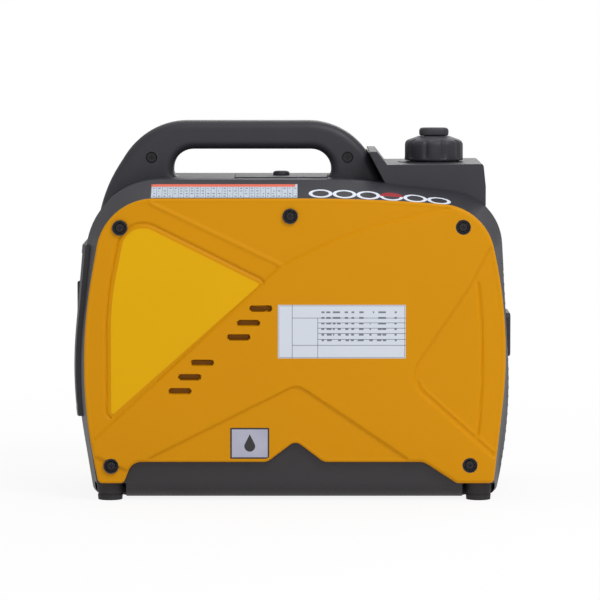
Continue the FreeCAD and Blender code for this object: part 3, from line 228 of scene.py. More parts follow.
def mouldedPlastic(name, spec):
    # two close tints drift over the piece, a fine grain is pressed in, and gloss varies a little
    finish = Finish(name)
    drift = finish.noise(spec["driftScale"], 3.0)
    colour = finish.blend(drift, shade(*spec["colour"], 1 - spec["drift"]),
                          shade(*spec["colour"], 1 + spec["drift"]))
    grain = finish.noise(spec["grainScale"], 1.0)
    rough = spec["rough"] + (finish.noise(spec["driftScale"] * 5) - 0.5) * spec["roughDrift"]
    bump = finish.make("ShaderNodeBump", inputs={"Strength": spec["grainStrength"],
                                                 "Distance": spec["grainDepth"], "Height": grain})
    return finish.surface({"Base Color": colour, "Roughness": rough, "Normal": bump,
                           "Specular IOR Level": spec.get("specular", 0.5),
                           "IOR": 1.46, "Coat Weight": spec.get("coat", 0.0),
                           "Coat Roughness": 0.25})


def workedMetal(name, spec):
    # brushed or cast: stretched noise roughens the metal and darkens it where it is dull
    finish = Finish(name)
    streak = finish.noise(spec["streakScale"], 3.0, spec["stretch"])
    colour = finish.blend(streak, shade(*spec["colour"], 0.72), shade(*spec["colour"], 1.1))
    bump = finish.make("ShaderNodeBump", inputs={"Strength": 0.25, "Distance": 0.00008,
                                                 "Height": streak})
    return finish.surface({"Base Color": colour, "Roughness": spec["rough"] + streak * 0.18,
                           "Metallic": 1.0, "Normal": bump})


def openFoam(name, spec):
    # dark cells between thin walls
    finish = Finish(name)
    cells = finish.make("ShaderNodeTexVoronoi", {"feature": "F1"},
                        {"Vector": finish.place(), "Scale": spec["cellScale"]}).pick("Distance")
    colour = finish.blend(cells, shade(*spec["colour"], 0.5), shade(*spec["colour"], 1.4))
    bump = finish.make("ShaderNodeBump", inputs={"Strength": 0.8, "Distance": 0.0004, "Height": cells})
    return finish.surface({"Base Color": colour, "Roughness": 0.95, "Normal": bump})


def braidedRope(name, spec):
    # crossing diagonal strands: the product of two sine waves, moved to run from 0 to 1
    finish = Finish(name)
    along, across, up = finish.axes()
    first = ((across + up + along) * spec["turns"]).sine()
    second = ((across - up - along) * spec["turns"]).sine()
    strand = (first * second) * 0.5 + 0.5
    colour = finish.blend(strand, shade(*spec["colour"], 0.6), shade(*spec["colour"], 1.5))
    bump = finish.make("ShaderNodeBump", inputs={"Strength": 0.7, "Distance": 0.0003, "Height": strand})
    return finish.surface({"Base Color": colour, "Roughness": 0.85, "Normal": bump})


slotFinishes = {
    "yellow_plastic": (mouldedPlastic, {"colour": (205, 139, 0), "drift": 0.035, "driftScale": 7.0,
                                        "rough": 0.42, "roughDrift": 0.08, "grainScale": 900.0,
                                        "grainStrength": 0.12, "grainDepth": 0.00012, "specular": 0.12}),
    "black_plastic": (mouldedPlastic, {"colour": (43, 43, 50), "drift": 0.12, "driftScale": 9.0,
                                       "rough": 0.5, "roughDrift": 0.12, "grainScale": 1500.0,
                                       "grainStrength": 0.45, "grainDepth": 0.00018}),
    "rubber": (mouldedPlastic, {"colour": (40, 38, 40), "drift": 0.15, "driftScale": 30.0,
                                "rough": 0.75, "roughDrift": 0.15, "grainScale": 700.0,
                                "grainStrength": 0.3, "grainDepth": 0.0002}),
    "trim_plastic": (mouldedPlastic, {"colour": (44, 44, 48), "drift": 0.06, "driftScale": 25.0,
                                      "rough": 0.36, "roughDrift": 0.1, "grainScale": 1100.0,
                                      "grainStrength": 0.12, "grainDepth": 0.0001}),
    "red_plastic": (mouldedPlastic, {"colour": (190, 30, 24), "drift": 0.05, "driftScale": 40.0,
                                     "rough": 0.3, "roughDrift": 0.08, "grainScale": 1100.0,
                                     "grainStrength": 0.08, "grainDepth": 0.0001}),
    "lamp_plastic": (mouldedPlastic, {"colour": (120, 190, 110), "drift": 0.12, "driftScale": 90.0,
                                      "rough": 0.16, "roughDrift": 0.05, "grainScale": 500.0,
                                      "grainStrength": 0.1, "grainDepth": 0.0001, "coat": 0.4}),
    "tank_plastic": (mouldedPlastic, {"colour": (46, 46, 50), "drift": 0.12, "driftScale": 12.0,
                                      "rough": 0.5, "roughDrift": 0.16, "grainScale": 300.0,
                                      "grainStrength": 0.35, "grainDepth": 0.0003}),
    "steel": (workedMetal, {"colour": (150, 150, 155), "streakScale": 500.0, "stretch": (1, 6, 1),
                            "rough": 0.28}),
    "exhaust_steel": (workedMetal, {"colour": (122, 112, 102), "streakScale": 60.0, "stretch": (1, 1, 1),
                                    "rough": 0.45}),
    "magnet": (workedMetal, {"colour": (82, 82, 86), "streakScale": 300.0, "stretch": (1, 1, 1),
                             "rough": 0.4}),
    "copper_winding": (workedMetal, {"colour": (190, 104, 60), "streakScale": 700.0,
                                     "stretch": (6, 1, 1), "rough": 0.3}),
    "brass": (workedMetal, {"colour": (212, 176, 96), "streakScale": 400.0, "stretch": (1, 1, 5),
                            "rough": 0.25}),
    "aluminium": (workedMetal, {"colour": (176, 177, 180), "streakScale": 350.0, "stretch": (1, 1, 1),
                                "rough": 0.42}),
    "rope": (braidedRope, {"colour": (64, 62, 60), "turns": 1500.0}),
    "foam": (openFoam, {"colour": (48, 48, 50), "cellScale": 900.0}),
}


def paintNodes():
    # every CAD node takes the finish of its material slot
    made = {slot: build(slot, spec) for slot, (build, spec) in slotFinishes.items()}
    for part in frame["record"]["subparts"]:
        mesh = nodes[part["node"]].data
        mesh.materials.clear()
        mesh.materials.append(made[part["material_slot"]])
    blackened = workedMetal("blackenedScrew", {"colour": (62, 60, 62), "streakScale": 500.0,
                                               "stretch": (1, 1, 1), "rough": 0.42})
    for name in ("side_cover_screws", "handle_screws"):
        nodes[name].data.materials[0] = blackened
    lower = dict(slotFinishes["black_plastic"][1], colour=(38, 35, 38))
    nodes["base_tray"].data.materials[0] = mouldedPlastic("trayPlastic", lower)
    return made


# Shared mesh helpers
def addPiece(name, points, faces, material, body, sharp=32.0, extra=()):
    # points in millimetres become one mesh object that rides on a body
    mesh = bpy.data.meshes.new(name)
    mesh.from_pydata((np.asarray(points) * mm).tolist(), [], faces)
    mesh.materials.append(material)
    for other in extra:
        mesh.materials.append(other)
    mesh.shade_smooth()
    mesh.set_sharp_from_angle(angle=math.radians(sharp))
    piece = bpy.data.objects.new(name, mesh)
    bpy.context.scene.collection.objects.link(piece)
    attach(piece, body)
    return piece


def gridFaces(rows, columns, closed=False, start=0):
    # quads between neighbouring rows and columns of a grid, closed round its columns if asked
    across = columns if closed else columns - 1
    row, column = np.meshgrid(np.arange(rows - 1), np.arange(across), indexing="ij")
    here = start + row * columns + column
    beside = start + row * columns + (column + 1) % columns
    return np.stack([here, beside, beside + columns, here + columns], -1).reshape(-1, 4).tolist()


def flipped(faces):
    # the same faces seen from the other side
    return [face[::-1] for face in faces]


def wrapped(faces, count):
    # joins the row past the last one to the first
    return [[i % count for i in face] for face in faces]


def roundedOutline(corners, step):
    # straight sides joined by tangent arcs: an arc's centre is radius / sin(half the corner) from
    # the corner, and it starts radius / tan(half the corner) along each side; gives the points and
    # how far along the outline the middle of each arc is
    spots = np.array([corner[:2] for corner in corners], float)
    radii = [corner[2] for corner in corners]
    runs, marks = [], []
    travelled, last = 0.0, None
    for i, spot in enumerate(spots):
        back = spots[i - 1] - spot
        ahead = spots[(i + 1) % len(spots)] - spot
        back, ahead = back / np.linalg.norm(back), ahead / np.linalg.norm(ahead)
        half = math.acos(np.clip(back @ ahead, -1, 1)) / 2
        middle = (back + ahead) / np.linalg.norm(back + ahead)
        centre = spot + middle * radii[i] / math.sin(half)
        first = spot + back * radii[i] / math.tan(half) - centre
        stop = spot + ahead * radii[i] / math.tan(half) - centre
        begin = math.atan2(first[1], first[0])
        sweep = (math.atan2(stop[1], stop[0]) - begin + math.pi) % (2 * math.pi) - math.pi
        count = max(3, int(abs(sweep) * radii[i] / step) + 2)
        turn = begin + np.linspace(0, sweep, count)
        arc = centre + radii[i] * np.stack([np.cos(turn), np.sin(turn)], 1)
        if last is not None:
            travelled += np.linalg.norm(arc[0] - last)
        marks.append(travelled + abs(sweep) * radii[i] / 2)
        travelled += np.linalg.norm(np.diff(arc, axis=0), axis=1).sum()
        last = arc[-1]
        runs.append(arc)
    points = np.concatenate(runs)
    return points, marks


def along(points, places):
    # points at given distances along a closed line
    closed = np.vstack([points, points[:1]])
    length = np.concatenate([[0], np.cumsum(np.linalg.norm(np.diff(closed, axis=0), axis=1))])
    places = np.mod(places, length[-1])
    return np.stack([np.interp(places, length, closed[:, k]) for k in (0, 1)], -1)


def outwards(loop):
    # unit normals of a closed loop, pointing away from its inside
    tangent = np.roll(loop, -1, 0) - np.roll(loop, 1, 0)
    normal = np.stack([tangent[:, 1], -tangent[:, 0]], 1)
    normal /= np.linalg.norm(normal, axis=1, keepdims=True)
    area = np.sum(loop[:, 0] * np.roll(loop[:, 1], -1) - loop[:, 1] * np.roll(loop[:, 0], -1))
    return normal if area > 0 else -normal


def polygonDistance(spots, polygon):
    # distance to a closed polygon's sides, below zero inside it
    best = np.full(spots.shape[:-1], 1e9)
    inside = np.zeros(spots.shape[:-1], bool)
    for a, b in zip(polygon, np.roll(polygon, -1, 0)):
        side = b - a
        t = np.clip(((spots - a) @ side) / (side @ side), 0, 1)
        best = np.minimum(best, np.linalg.norm(spots - a - t[..., None] * side, axis=-1))
        if a[1] != b[1]:
            crosses = (a[1] > spots[..., 1]) != (b[1] > spots[..., 1])
            where = a[0] + (spots[..., 1] - a[1]) * side[0] / side[1]
            inside ^= crosses & (spots[..., 0] < where)
    return np.where(inside, -best, best)


def lineDistance(spots, a, b):
    # distance to a straight stretch from a to b
    a, side = np.array(a, float), np.array(b, float) - np.array(a, float)
    t = np.clip(((spots - a) @ side) / (side @ side), 0, 1)
    return np.linalg.norm(spots - a - t[..., None] * side, axis=-1)


def barDistance(spots, centre, halfLength, halfHeight, radius):
    # distance to a rounded bar, below zero inside it
    reach = np.abs(spots - np.array(centre)) - np.array([halfLength - radius, halfHeight - radius])
    return np.linalg.norm(np.maximum(reach, 0), axis=-1) + np.minimum(reach.max(-1), 0) - radius


def eased(value):
    # rises smoothly from 0 to 1
    value = np.clip(value, 0, 1)
    return value * value * (3 - 2 * value)


def bell(value, width):
    # 1 at zero, falling off on both sides as exp(-(value / width) squared)
    return np.exp(-(value / width) ** 2)


# Side panels
sidePanel = {
    "outline": [(-201, 18.5, 5), (-224, 136, 520), (-193, 311.8, 60), (80, 311.8, 1700),
                (196.5, 302.5, 57), (223.5, 176, 480), (206, 18.5, 5), (168, 18.5, 5),
                (134, 40.5, 14), (31, 40.5, 12), (2, 62.5, 9), (-27, 40.5, 12), (-166, 40.5, 14),
                (-175, 18.5, 5)],
    "cornerMarks": (0, 2, 4, 6),         # which corners end the left, top and right edges
    "face": 120.0,
    "back": 112.0,
    "edgeRound": 4.0,
    "rimSteps": 6,
    "columns": 322,
    "rows": 216,
    "pitch": 1.35,                       # about the spacing of the grid
    "star": [(-12, 242, 5), (60, 277.5, 400), (176, 304, 22), (204, 270, 12), (181, 224, 160),
             (114, 125, 28), (222, 29, 2), (176, 6, 2), (4, 122.5, 16), (-172, 34, 3),
             (-214, 53, 2)],             # the raised field between the four sunk ones
    "starDepth": 2.4,
    "starSlope": 2.4,
    "ridge": {"ends": ((-146, 307), (-14, 244)), "width": 2.0, "height": 1.3},
    "cornerRidge": {"away": 6.5, "width": 1.4, "height": 1.1, "rightOf": 126, "below": 125},
    "sticker": [(-187.5, 88, 2), (-187.5, 205, 300), (-170, 292, 22), (-34, 224, 2)],
    "groove": {"away": 5.0, "width": 1.3, "depth": 1.5, "sunk": 0.5, "ease": 3.0},
    "rightGroove": {"middle": 193.5, "height": 146.0, "half": 82.0, "bow": 4.5, "width": 1.4,
                    "depth": 1.6, "endSlope": 20},
    "screws": [(-177.8, 281.9), (-3.4, 293.8), (173.7, 282.6), (-187.6, 36.6), (181.4, 37.4)],
    "screwRadius": 7.8,
    "screwDepth": 5.6,
    "slots": [(-33.6, 199.2), (-46.2, 184.3), (-56.2, 169.7), (-93.5, 143.3), (-106.5, 128.6),
              (-116.5, 114.1)],
    "slotBar": (12.0, 3.4, 3.3),         # half length, half height, end radius
    "slotDepth": 5.2,
    "shadowInset": 0.7,                  # from a slot's edge to its dark bottom
    "pocket": {"centre": (-134.0, 175.25), "half": (46.0, 17.0), "radius": 8.0, "depth": 21.0},
}


def snapTo(spots, distance, pitch, depth, height):
    # grid points within about half a spacing of an outline move onto it, along the slope of the
    # distance, and those inside it sink to the depth
    away = distance(spots)
    tiny = 0.01
    slope = np.stack([distance(spots + (tiny, 0)) - away, distance(spots + (0, tiny)) - away], -1) / tiny
    near = np.abs(away) < 0.52 * pitch
    moved = np.where(near[..., None], spots - away[..., None] * slope, spots)
    inside = (away < 0) & ~near
    return moved, np.where(inside, depth, height)


def panelHeight(spots, spec, plain):
    # how far the face stands in: sunk fields round the raised star, ridges and grooves
    star, _ = roundedOutline(spec["star"], 3.0)
    away = polygonDistance(spots, star)
    height = spec["starDepth"] * eased(away / spec["starSlope"])
    ridge, corner, bow = spec["ridge"], spec["cornerRidge"], spec["rightGroove"]
    height -= ridge["height"] * bell(lineDistance(spots, *ridge["ends"]), ridge["width"])
    lower = (spots[..., 0] > corner["rightOf"]) & (spots[..., 1] < corner["below"])
    height -= corner["height"] * bell(away - corner["away"], corner["width"]) * lower
    level = (spots[..., 1] - bow["height"]) / bow["half"]
    aside = spots[..., 0] - bow["middle"] + bow["bow"] * level ** 2
    height += bow["depth"] * bell(aside, bow["width"]) * eased((1 - np.abs(level)) * bow["endSlope"])
    if not plain:
        groove = spec["groove"]
        sticker, _ = roundedOutline(spec["sticker"], 3.0)
        ring = polygonDistance(spots, sticker) - groove["away"]
        a, b = np.array(spec["sticker"][0][:2]), np.array(spec["sticker"][3][:2])
        side, reach = b - a, spots - a
        beyond = (side[0] * reach[..., 1] - side[1] * reach[..., 0]) / np.linalg.norm(side)
        height += groove["depth"] * bell(ring, groove["width"]) * (beyond > -1.5)
        height += groove["sunk"] * eased((2.0 - ring) / groove["ease"]) * (beyond > -4)
    return height


def sidePanelMesh(spec, plain):
    # a grid stretched between the four edges (the sum of the two straight blends between facing
    # edges, less the blend of the four corners), a quarter-round rim and a flat back
    points, marks = roundedOutline(spec["outline"], 1.5)
    total = np.linalg.norm(np.diff(np.vstack([points, points[:1]]), axis=0), axis=1).sum()
    start, top, right, foot = (marks[k] for k in spec["cornerMarks"])
    rows, columns = spec["rows"], spec["columns"]
    stretches = [np.linspace(start, top, rows), np.linspace(top, right, columns)[1:],
                 np.linspace(right, foot, rows)[1:], np.linspace(foot, start + total, columns)[1:-1]]
    loop = along(points, np.concatenate(stretches))
    normal = outwards(loop)
    inner = loop - normal * spec["edgeRound"]
    ends = np.cumsum([len(s) for s in stretches])
    left, roof = inner[:ends[0]], inner[ends[0] - 1:ends[1]]
    flank = inner[ends[1] - 1:ends[2]][::-1]
    base = np.vstack([inner[ends[2] - 1:ends[3]], inner[:1]])[::-1]
    u, v = np.linspace(0, 1, columns)[None, :, None], np.linspace(0, 1, rows)[:, None, None]
    field = ((1 - v) * base[None] + v * roof[None] + (1 - u) * left[:, None] + u * flank[:, None]
             - (1 - u) * (1 - v) * base[0] - u * (1 - v) * base[-1]
             - (1 - u) * v * roof[0] - u * v * roof[-1])
    edgeIndex = np.concatenate([np.arange(rows) * columns, (rows - 1) * columns + np.arange(1, columns),
                                np.arange(rows - 2, -1, -1) * columns + columns - 1,
                                np.arange(columns - 2, 0, -1)])
    height = panelHeight(field, spec, plain)
    rim = height.reshape(-1)[edgeIndex].copy()
    holes = [(lambda s, c=c: np.linalg.norm(s - np.array(c), axis=-1) - spec["screwRadius"],
              spec["screwDepth"]) for c in spec["screws"]]
    holes += [(lambda s, c=c: barDistance(s, c, *spec["slotBar"]), spec["slotDepth"])
              for c in spec["slots"]]
    if plain:
        tub = spec["pocket"]
        holes.append((lambda s: barDistance(s, tub["centre"], *tub["half"], tub["radius"]), tub["depth"]))
    for distance, depth in holes:
        field, height = snapTo(field, distance, spec["pitch"], depth, height)
    face = np.stack([field[..., 0], height - spec["face"], field[..., 1]], -1).reshape(-1, 3)
    rings = []
    for share in np.linspace(0, 1, spec["rimSteps"] + 1)[1:]:
        turn = share * math.pi / 2
        out = spec["edgeRound"] * (math.sin(turn) - 1)
        deep = spec["edgeRound"] * (1 - math.cos(turn)) + rim * (1 - share)
        ring = loop + normal * out
        rings.append(np.stack([ring[:, 0], deep - spec["face"], ring[:, 1]], -1))
    rings.append(np.stack([loop[:, 0], np.full(len(loop), -spec["back"]), loop[:, 1]], -1))
    count, edge = len(face), len(loop)
    faces = flipped(gridFaces(rows, columns))
    first = np.stack([edgeIndex, np.roll(edgeIndex, -1), np.roll(np.arange(edge), -1) + count,
                      np.arange(edge) + count], -1).tolist()
    faces += first + gridFaces(len(rings), edge, True, count)
    faces.append(list(range(count + (len(rings) - 1) * edge, count + len(rings) * edge)))
    return np.vstack([face] + rings), faces


def buildPanels(spec, paint):
    # both covers from one mesh, the far one mirrored; the bottoms of the slots are darker
    shadow = mouldedPlastic("slotShadow", dict(slotFinishes["yellow_plastic"][1], colour=(128, 80, 6)))
    for name, node, plain in (("leftPanel", "left_side_cover", False),
                              ("rightPanel", "right_side_cover", True)):
        points, faces = sidePanelMesh(spec, plain)
        if plain:
            points = points * (1, -1, 1)
            faces = flipped(faces)
        panel = addPiece(name, points, faces, paint, "case", 30.0, (shadow,))
        grid = (spec["rows"] - 1) * (spec["columns"] - 1)
        middle = points[np.array(faces[:grid])].mean(1)[:, [0, 2]]
        away = np.min([barDistance(middle, c, *spec["slotBar"]) for c in spec["slots"]], axis=0)
        kind = np.zeros(len(faces), np.int32)
        kind[:grid] = away < -spec["shadowInset"]
        panel.data.polygons.foreach_set("material_index", kind)
        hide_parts(node)
        print(name, len(points), "points")


# Dark cups round the panel screws
screwCup = {"profile": [(7.9, -119.9), (7.0, -119.9), (6.1, -115.0), (4.95, -115.0), (4.95, -114.5),
                        (7.9, -114.5)], "sides": 40}


def buildScrewCups(spec, paint):
    # a closed profile turned round each screw's axis, on both panels
    turn = np.linspace(0, 2 * math.pi, spec["sides"], endpoint=False)[None]
    radius, depth = np.array(spec["profile"] + spec["profile"][:1]).T[:, :, None]
    for side, word in ((1, "left"), (-1, "right")):
        for index, (x, z) in enumerate(sidePanel["screws"]):
            points = np.stack([x + radius * np.cos(turn), side * depth + 0 * turn,
                               z + radius * np.sin(turn)], -1)[:-1].reshape(-1, 3)
            rows = len(spec["profile"])
            faces = wrapped(gridFaces(rows + 1, spec["sides"], True), len(points))
            addPiece(f"{word}ScrewCup{index + 1}", points, faces if side < 0 else flipped(faces), paint,
                     "case", 30.0)


# Labels on the near panel and the deck
labels = {
    "lift": 0.25,                        # how far a label stands proud
    "data": {"box": (-16, 115, 148, 203), "level": -120.0},
    "oil": {"box": (-65, -25, 44, 76), "level": -117.6},
    "strip": {"plan": (-146.5, 4.0, -108.6, -82.3), "grid": (60, 8)},
    "discs": [(27.8, -100.6), (52.3, -101.0), (76.8, -101.6), (100.6, -102.0), (125.0, -102.2),
              (149.3, -102.3)],
    "discHalf": (12.2, 7.9),
    "discRings": (0.0, 0.35, 0.7, 0.71, 0.99, 1.0),
    "discSides": 40,
    "redDisc": 3,                        # the one whose far half is red
    "dropFrom": 420.0,                   # above the deck
}


def platePiece(name, corners, level, material):
    # a thin plate with the outline of the label, its face at the level
    loop, _ = roundedOutline(corners, 1.0)
    if np.sum(loop[:, 0] * np.roll(loop[:, 1], -1) - loop[:, 1] * np.roll(loop[:, 0], -1)) < 0:
        loop = loop[::-1]
    count = len(loop)
    front = np.stack([loop[:, 0], np.full(count, level - labels["lift"]), loop[:, 1]], -1)
    behind = front + (0, labels["lift"] * 1.6, 0)
    faces = [list(range(count)), list(range(2 * count - 1, count - 1, -1))]
    faces += [face[::-1] for face in gridFaces(2, count, True)]
    return addPiece(name, np.vstack([front, behind]), faces, material, "case", 20.0)


def between(axis, low, high):
    # 1 from low to high, 0 elsewhere
    return (axis > low) * (axis < high)


def printedForm(name, box):
    # ruled lines round blank rows, with grey bars where entries go
    finish = Finish(name)
    x, _, z = finish.axes()
    x0, x1, z0, z1 = (value * mm for value in box)
    width, height, line = x1 - x0, z1 - z0, 0.0005

    def upright(share):
        return between(x, x0 + share * width, x0 + share * width + line)

    def level(share):
        return between(z, z0 + share * height, z0 + share * height + line)

    def inset(gap):
        return abs(x - (x0 + x1) / 2) < width / 2 - gap, abs(z - (z0 + z1) / 2) < height / 2 - gap

    ink = upright(0.11).upTo(upright(0.31) * (z < z0 + 0.75 * height))
    for share in (0.24, 0.75):
        ink = ink.upTo(level(share) * (x > x0 + 0.11 * width))
    for share in (0.35, 0.46, 0.56, 0.66):
        ink = ink.upTo(level(share) * (x > x0 + 0.31 * width))
    outerX, outerZ = inset(0.0008)
    innerX, innerZ = inset(0.0012)
    frameLine = outerX * outerZ * (1 - innerX * innerZ)
    bars = finish.noise(260.0, 0.0, (1, 1, 0.05)) > 0.52
    rows = ((z - z0) / (height * 0.105) + 0.3).fraction()
    entries = bars * between(rows, 0.35, 0.68) * between(x, x0 + 0.34 * width, x0 + 0.93 * width) \
        * between(z, z0 + 0.3 * height, z0 + 0.93 * height)
    colour = finish.blend(entries * 0.8, shade(204, 211, 222), shade(60, 64, 78))
    colour = finish.blend(ink.upTo(frameLine), colour, shade(58, 62, 76))
    return finish.surface({"Base Color": colour, "Roughness": 0.42})


def oilPicture(name, box):
    # a black border round a pale face with one plain drop
    finish = Finish(name)
    x, _, z = finish.axes()
    x0, x1, z0, z1 = (value * mm for value in box)
    middle, height = (x0 + x1) / 2, (z0 + z1) / 2
    border = (abs(x - middle) > (x1 - x0) / 2 - 0.0016).upTo(abs(z - height) > (z1 - z0) / 2 - 0.0016)
    dx, dz = x - middle, z - (height - 0.003)
    radius = (dx * dx + dz * dz).root()
    cone = (abs(dx) < (0.0125 - dz) * 0.5) * (dz > 0.002)
    drop = ((radius < 0.0056).upTo(cone)) * (dz < 0.0125)
    sheen = finish.noise(30.0)
    face = finish.blend(sheen, shade(150, 152, 172), shade(186, 188, 206))
    colour = finish.blend(border.upTo(drop), face, shade(30, 28, 30))
    return finish.surface({"Base Color": colour, "Roughness": 0.34})


def stripPrint(name, plan):
    # a coral band along the top of a pale strip of ruled columns
    finish = Finish(name)
    x, y, _ = finish.axes()
    x0, x1, y0, y1 = (value * mm for value in plan)
    band = (y > y0 + (y1 - y0) * 0.8) * (x < x0 + (x1 - x0) * 0.985)
    column = ((x - x0) / 0.0056).fraction()
    rows = ((y - y0) / 0.0052).fraction()
    marks = between(column, 0.3, 0.75) * between(rows, 0.3, 0.7) * (y < y0 + (y1 - y0) * 0.78)
    marks = marks * (finish.noise(300.0, 0.0) > 0.47)
    rule = between(column, 0.0, 0.08) * (y < y0 + (y1 - y0) * 0.8)
    colour = finish.blend(marks.upTo(rule) * 0.85, shade(190, 201, 214), shade(84, 92, 108))
    colour = finish.blend(band, colour, shade(222, 96, 70))
    return finish.surface({"Base Color": colour, "Roughness": 0.4})


def printInk(name, colour):
    # printed foil with a faint mottle
    return mouldedPlastic(name, {"colour": colour, "drift": 0.04, "driftScale": 60.0, "rough": 0.42,
                                 "roughDrift": 0.06, "grainScale": 900.0, "grainStrength": 0.05,
                                 "grainDepth": 0.00005})


def deckDrop(tree, plan):
    # plan points (x, y) dropped onto the deck, then lifted along its normal
    down = Vector((0, 0, -1))
    hits = [tree.ray_cast(Vector((x, y, labels["dropFrom"])) * mm, down) for x, y in plan.reshape(-1, 2)]
    spots = np.array([hit[0] for hit in hits]) / mm
    normals = np.array([hit[1] for hit in hits])
    normals *= np.sign(normals[:, 2:])
    return spots, normals


def shellOf(spots, normals, rows, columns, closed, lift):
    # an upper and a lower sheet joined round their edge
    top = spots + normals * lift
    low = spots - normals * 0.15
    upper = gridFaces(rows, columns, closed)
    count = rows * columns
    faces = upper + [[i + count for i in face[::-1]] for face in upper]
    if closed:
        outer = (rows - 1) * columns + np.arange(columns)
    else:
        outer = np.concatenate([np.arange(columns), np.arange(1, rows) * columns + columns - 1,
                                (rows - 1) * columns + np.arange(columns - 2, -1, -1),
                                np.arange(rows - 2, 0, -1) * columns])
    beside = np.roll(outer, -1)
    side = np.stack([outer, outer + count, beside + count, beside], -1).tolist()
    faces += flipped(side) if closed else side
    return np.vstack([top, low]), faces


def buildDeckLabels():
    # the strip is a grid and each disc a set of rings, all laid on the deck of the near housing
    tree = BVHTree.FromObject(nodes["housing_left"], bpy.context.evaluated_depsgraph_get())
    x0, x1, y0, y1 = labels["strip"]["plan"]
    columns, rows = labels["strip"]["grid"]
    gx, gy = np.meshgrid(np.linspace(x0, x1, columns), np.linspace(y0, y1, rows))
    spots, normals = deckDrop(tree, np.stack([gx, gy], -1))
    points, faces = shellOf(spots, normals, rows, columns, False, labels["lift"])
    addPiece("deckStrip", points, faces, stripPrint("deckStripPrint", labels["strip"]["plan"]), "case",
             30.0)
    white = printInk("discWhite", (222, 228, 240))
    dark = printInk("discDark", (44, 44, 50))
    red = printInk("discRed", (158, 18, 30))
    sides = labels["discSides"]
    turn = np.linspace(0, 2 * math.pi, sides, endpoint=False)
    share = np.maximum(labels["discRings"], 0.01)[:, None]
    wide, deep = labels["discHalf"]
    rings = len(share)
    for index, (x, y) in enumerate(labels["discs"]):
        plan = np.stack([x + wide * share * np.cos(turn), y + deep * share * np.sin(turn)], -1)
        spots, normals = deckDrop(tree, plan)
        points, faces = shellOf(spots, normals, rings, sides, True, labels["lift"] + 0.05)
        faces.append(list(range(sides)))
        faces.append(list(range(rings * sides, (rings + 1) * sides))[::-1])
        disc = addPiece(f"deckDisc{index + 1}", points, faces, white, "case", 30.0,
                        (dark, red))
        kind = np.zeros(len(faces), np.int32)
        kind[:2 * sides] = 1
        kind[-2] = 1
        if index == labels["redDisc"]:
            upper = np.arange((rings - 1) * sides)
            kind[upper[upper % sides < sides // 2]] = 2
        disc.data.polygons.foreach_set("material_index", kind)


def buildLabels(spec):
    # two printed plates, a plain sticker and the deck's labels
    x0, x1, z0, z1 = spec["data"]["box"]
    platePiece("dataLabel", [(x0, z0, 0.6), (x1, z0, 0.6), (x1, z1, 0.6), (x0, z1, 0.6)],
               spec["data"]["level"], printedForm("dataLabelPrint", spec["data"]["box"]))
    x0, x1, z0, z1 = spec["oil"]["box"]
    platePiece("oilLabel", [(x0, z0, 0.6), (x1, z0, 0.6), (x1, z1, 0.6), (x0, z1, 0.6)],
               spec["oil"]["level"], oilPicture("oilLabelPrint", spec["oil"]["box"]))
    sheet = mouldedPlastic("stickerFilm", {"colour": (219, 166, 0), "drift": 0.03, "driftScale": 10.0,
                                           "rough": 0.3, "roughDrift": 0.06, "grainScale": 900.0,
                                           "grainStrength": 0.05, "grainDepth": 0.00005, "specular": 0.12})
    platePiece("serviceSticker", sidePanel["sticker"], -117.25, sheet)
    buildDeckLabels()
    print("labels built")


# Starter rope between the case and the grip
starterRope = {"sides": 16, "rows": 60, "held": 4.0}   # the last stretch is held in the grip


def buildRope(spec, paint):
    # rings along a straight run
    low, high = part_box("starter_rope")
    centre = (low + high) / 2
    y0, y1 = low.y / mm, high.y / mm
    radius = min(high.x - low.x, high.z - low.z) / 2 / mm
    y = np.linspace(y0, y1, spec["rows"])[:, None]
    turn = np.linspace(0, 2 * math.pi, spec["sides"], endpoint=False)[None]
    points = np.stack([centre.x / mm + radius * np.cos(turn) + 0 * y, y + 0 * turn,
                       centre.z / mm + radius * np.sin(turn) + 0 * y], -1).reshape(-1, 3)
    faces = flipped(gridFaces(spec["rows"], spec["sides"], True))
    faces.append(list(range(spec["sides"])))
    faces.append(list(range((spec["rows"] - 1) * spec["sides"], spec["rows"] * spec["sides"]))[::-1])
    rope = addPiece("pullRope", points, faces, paint, "case", 60.0)
    rope.parent = None
    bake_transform(rope)
    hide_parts("starter_rope")


# Fuel cap and its vent dial
fuelCap = {
    "ribs": 10,
    "ribDepth": 1.7,
    "ribWidth": 0.085,                   # radians
    "ribsStart": (26.0, 348.0),          # radius and height from which the grooves ease in
    "ribsEase": 2.0,
    "profile": [(23.6, 346.1), (29.6, 346.1), (30.6, 346.7), (30.8, 348.0), (30.8, 356.0), (30.8, 362.5),
                (30.4, 364.6), (29.2, 366.4), (27.0, 367.7), (22.0, 369.5), (17.5, 371.0), (16.6, 371.5),
                (15.9, 371.3), (6.3, 371.2), (6.3, 364.5), (23.6, 364.3)],
    "columns": 240,
}
ventDial = {
    "half": (15.2, 9.6),
    "power": 3.0,                        # how square the dial is
    "stem": {"share": 0.4, "below": 0.45, "radius": 5.9, "top": 371.6},
    "ends": (362.0, 380.4),
    "profile": [(0.40, 362.0), (0.40, 371.7), (0.93, 371.8), (1.0, 372.8), (1.02, 374.5), (1.02, 377.2),
                (0.98, 378.8), (0.90, 379.9), (0.78, 380.3), (0.4, 380.4)],
    "columns": 96,
}


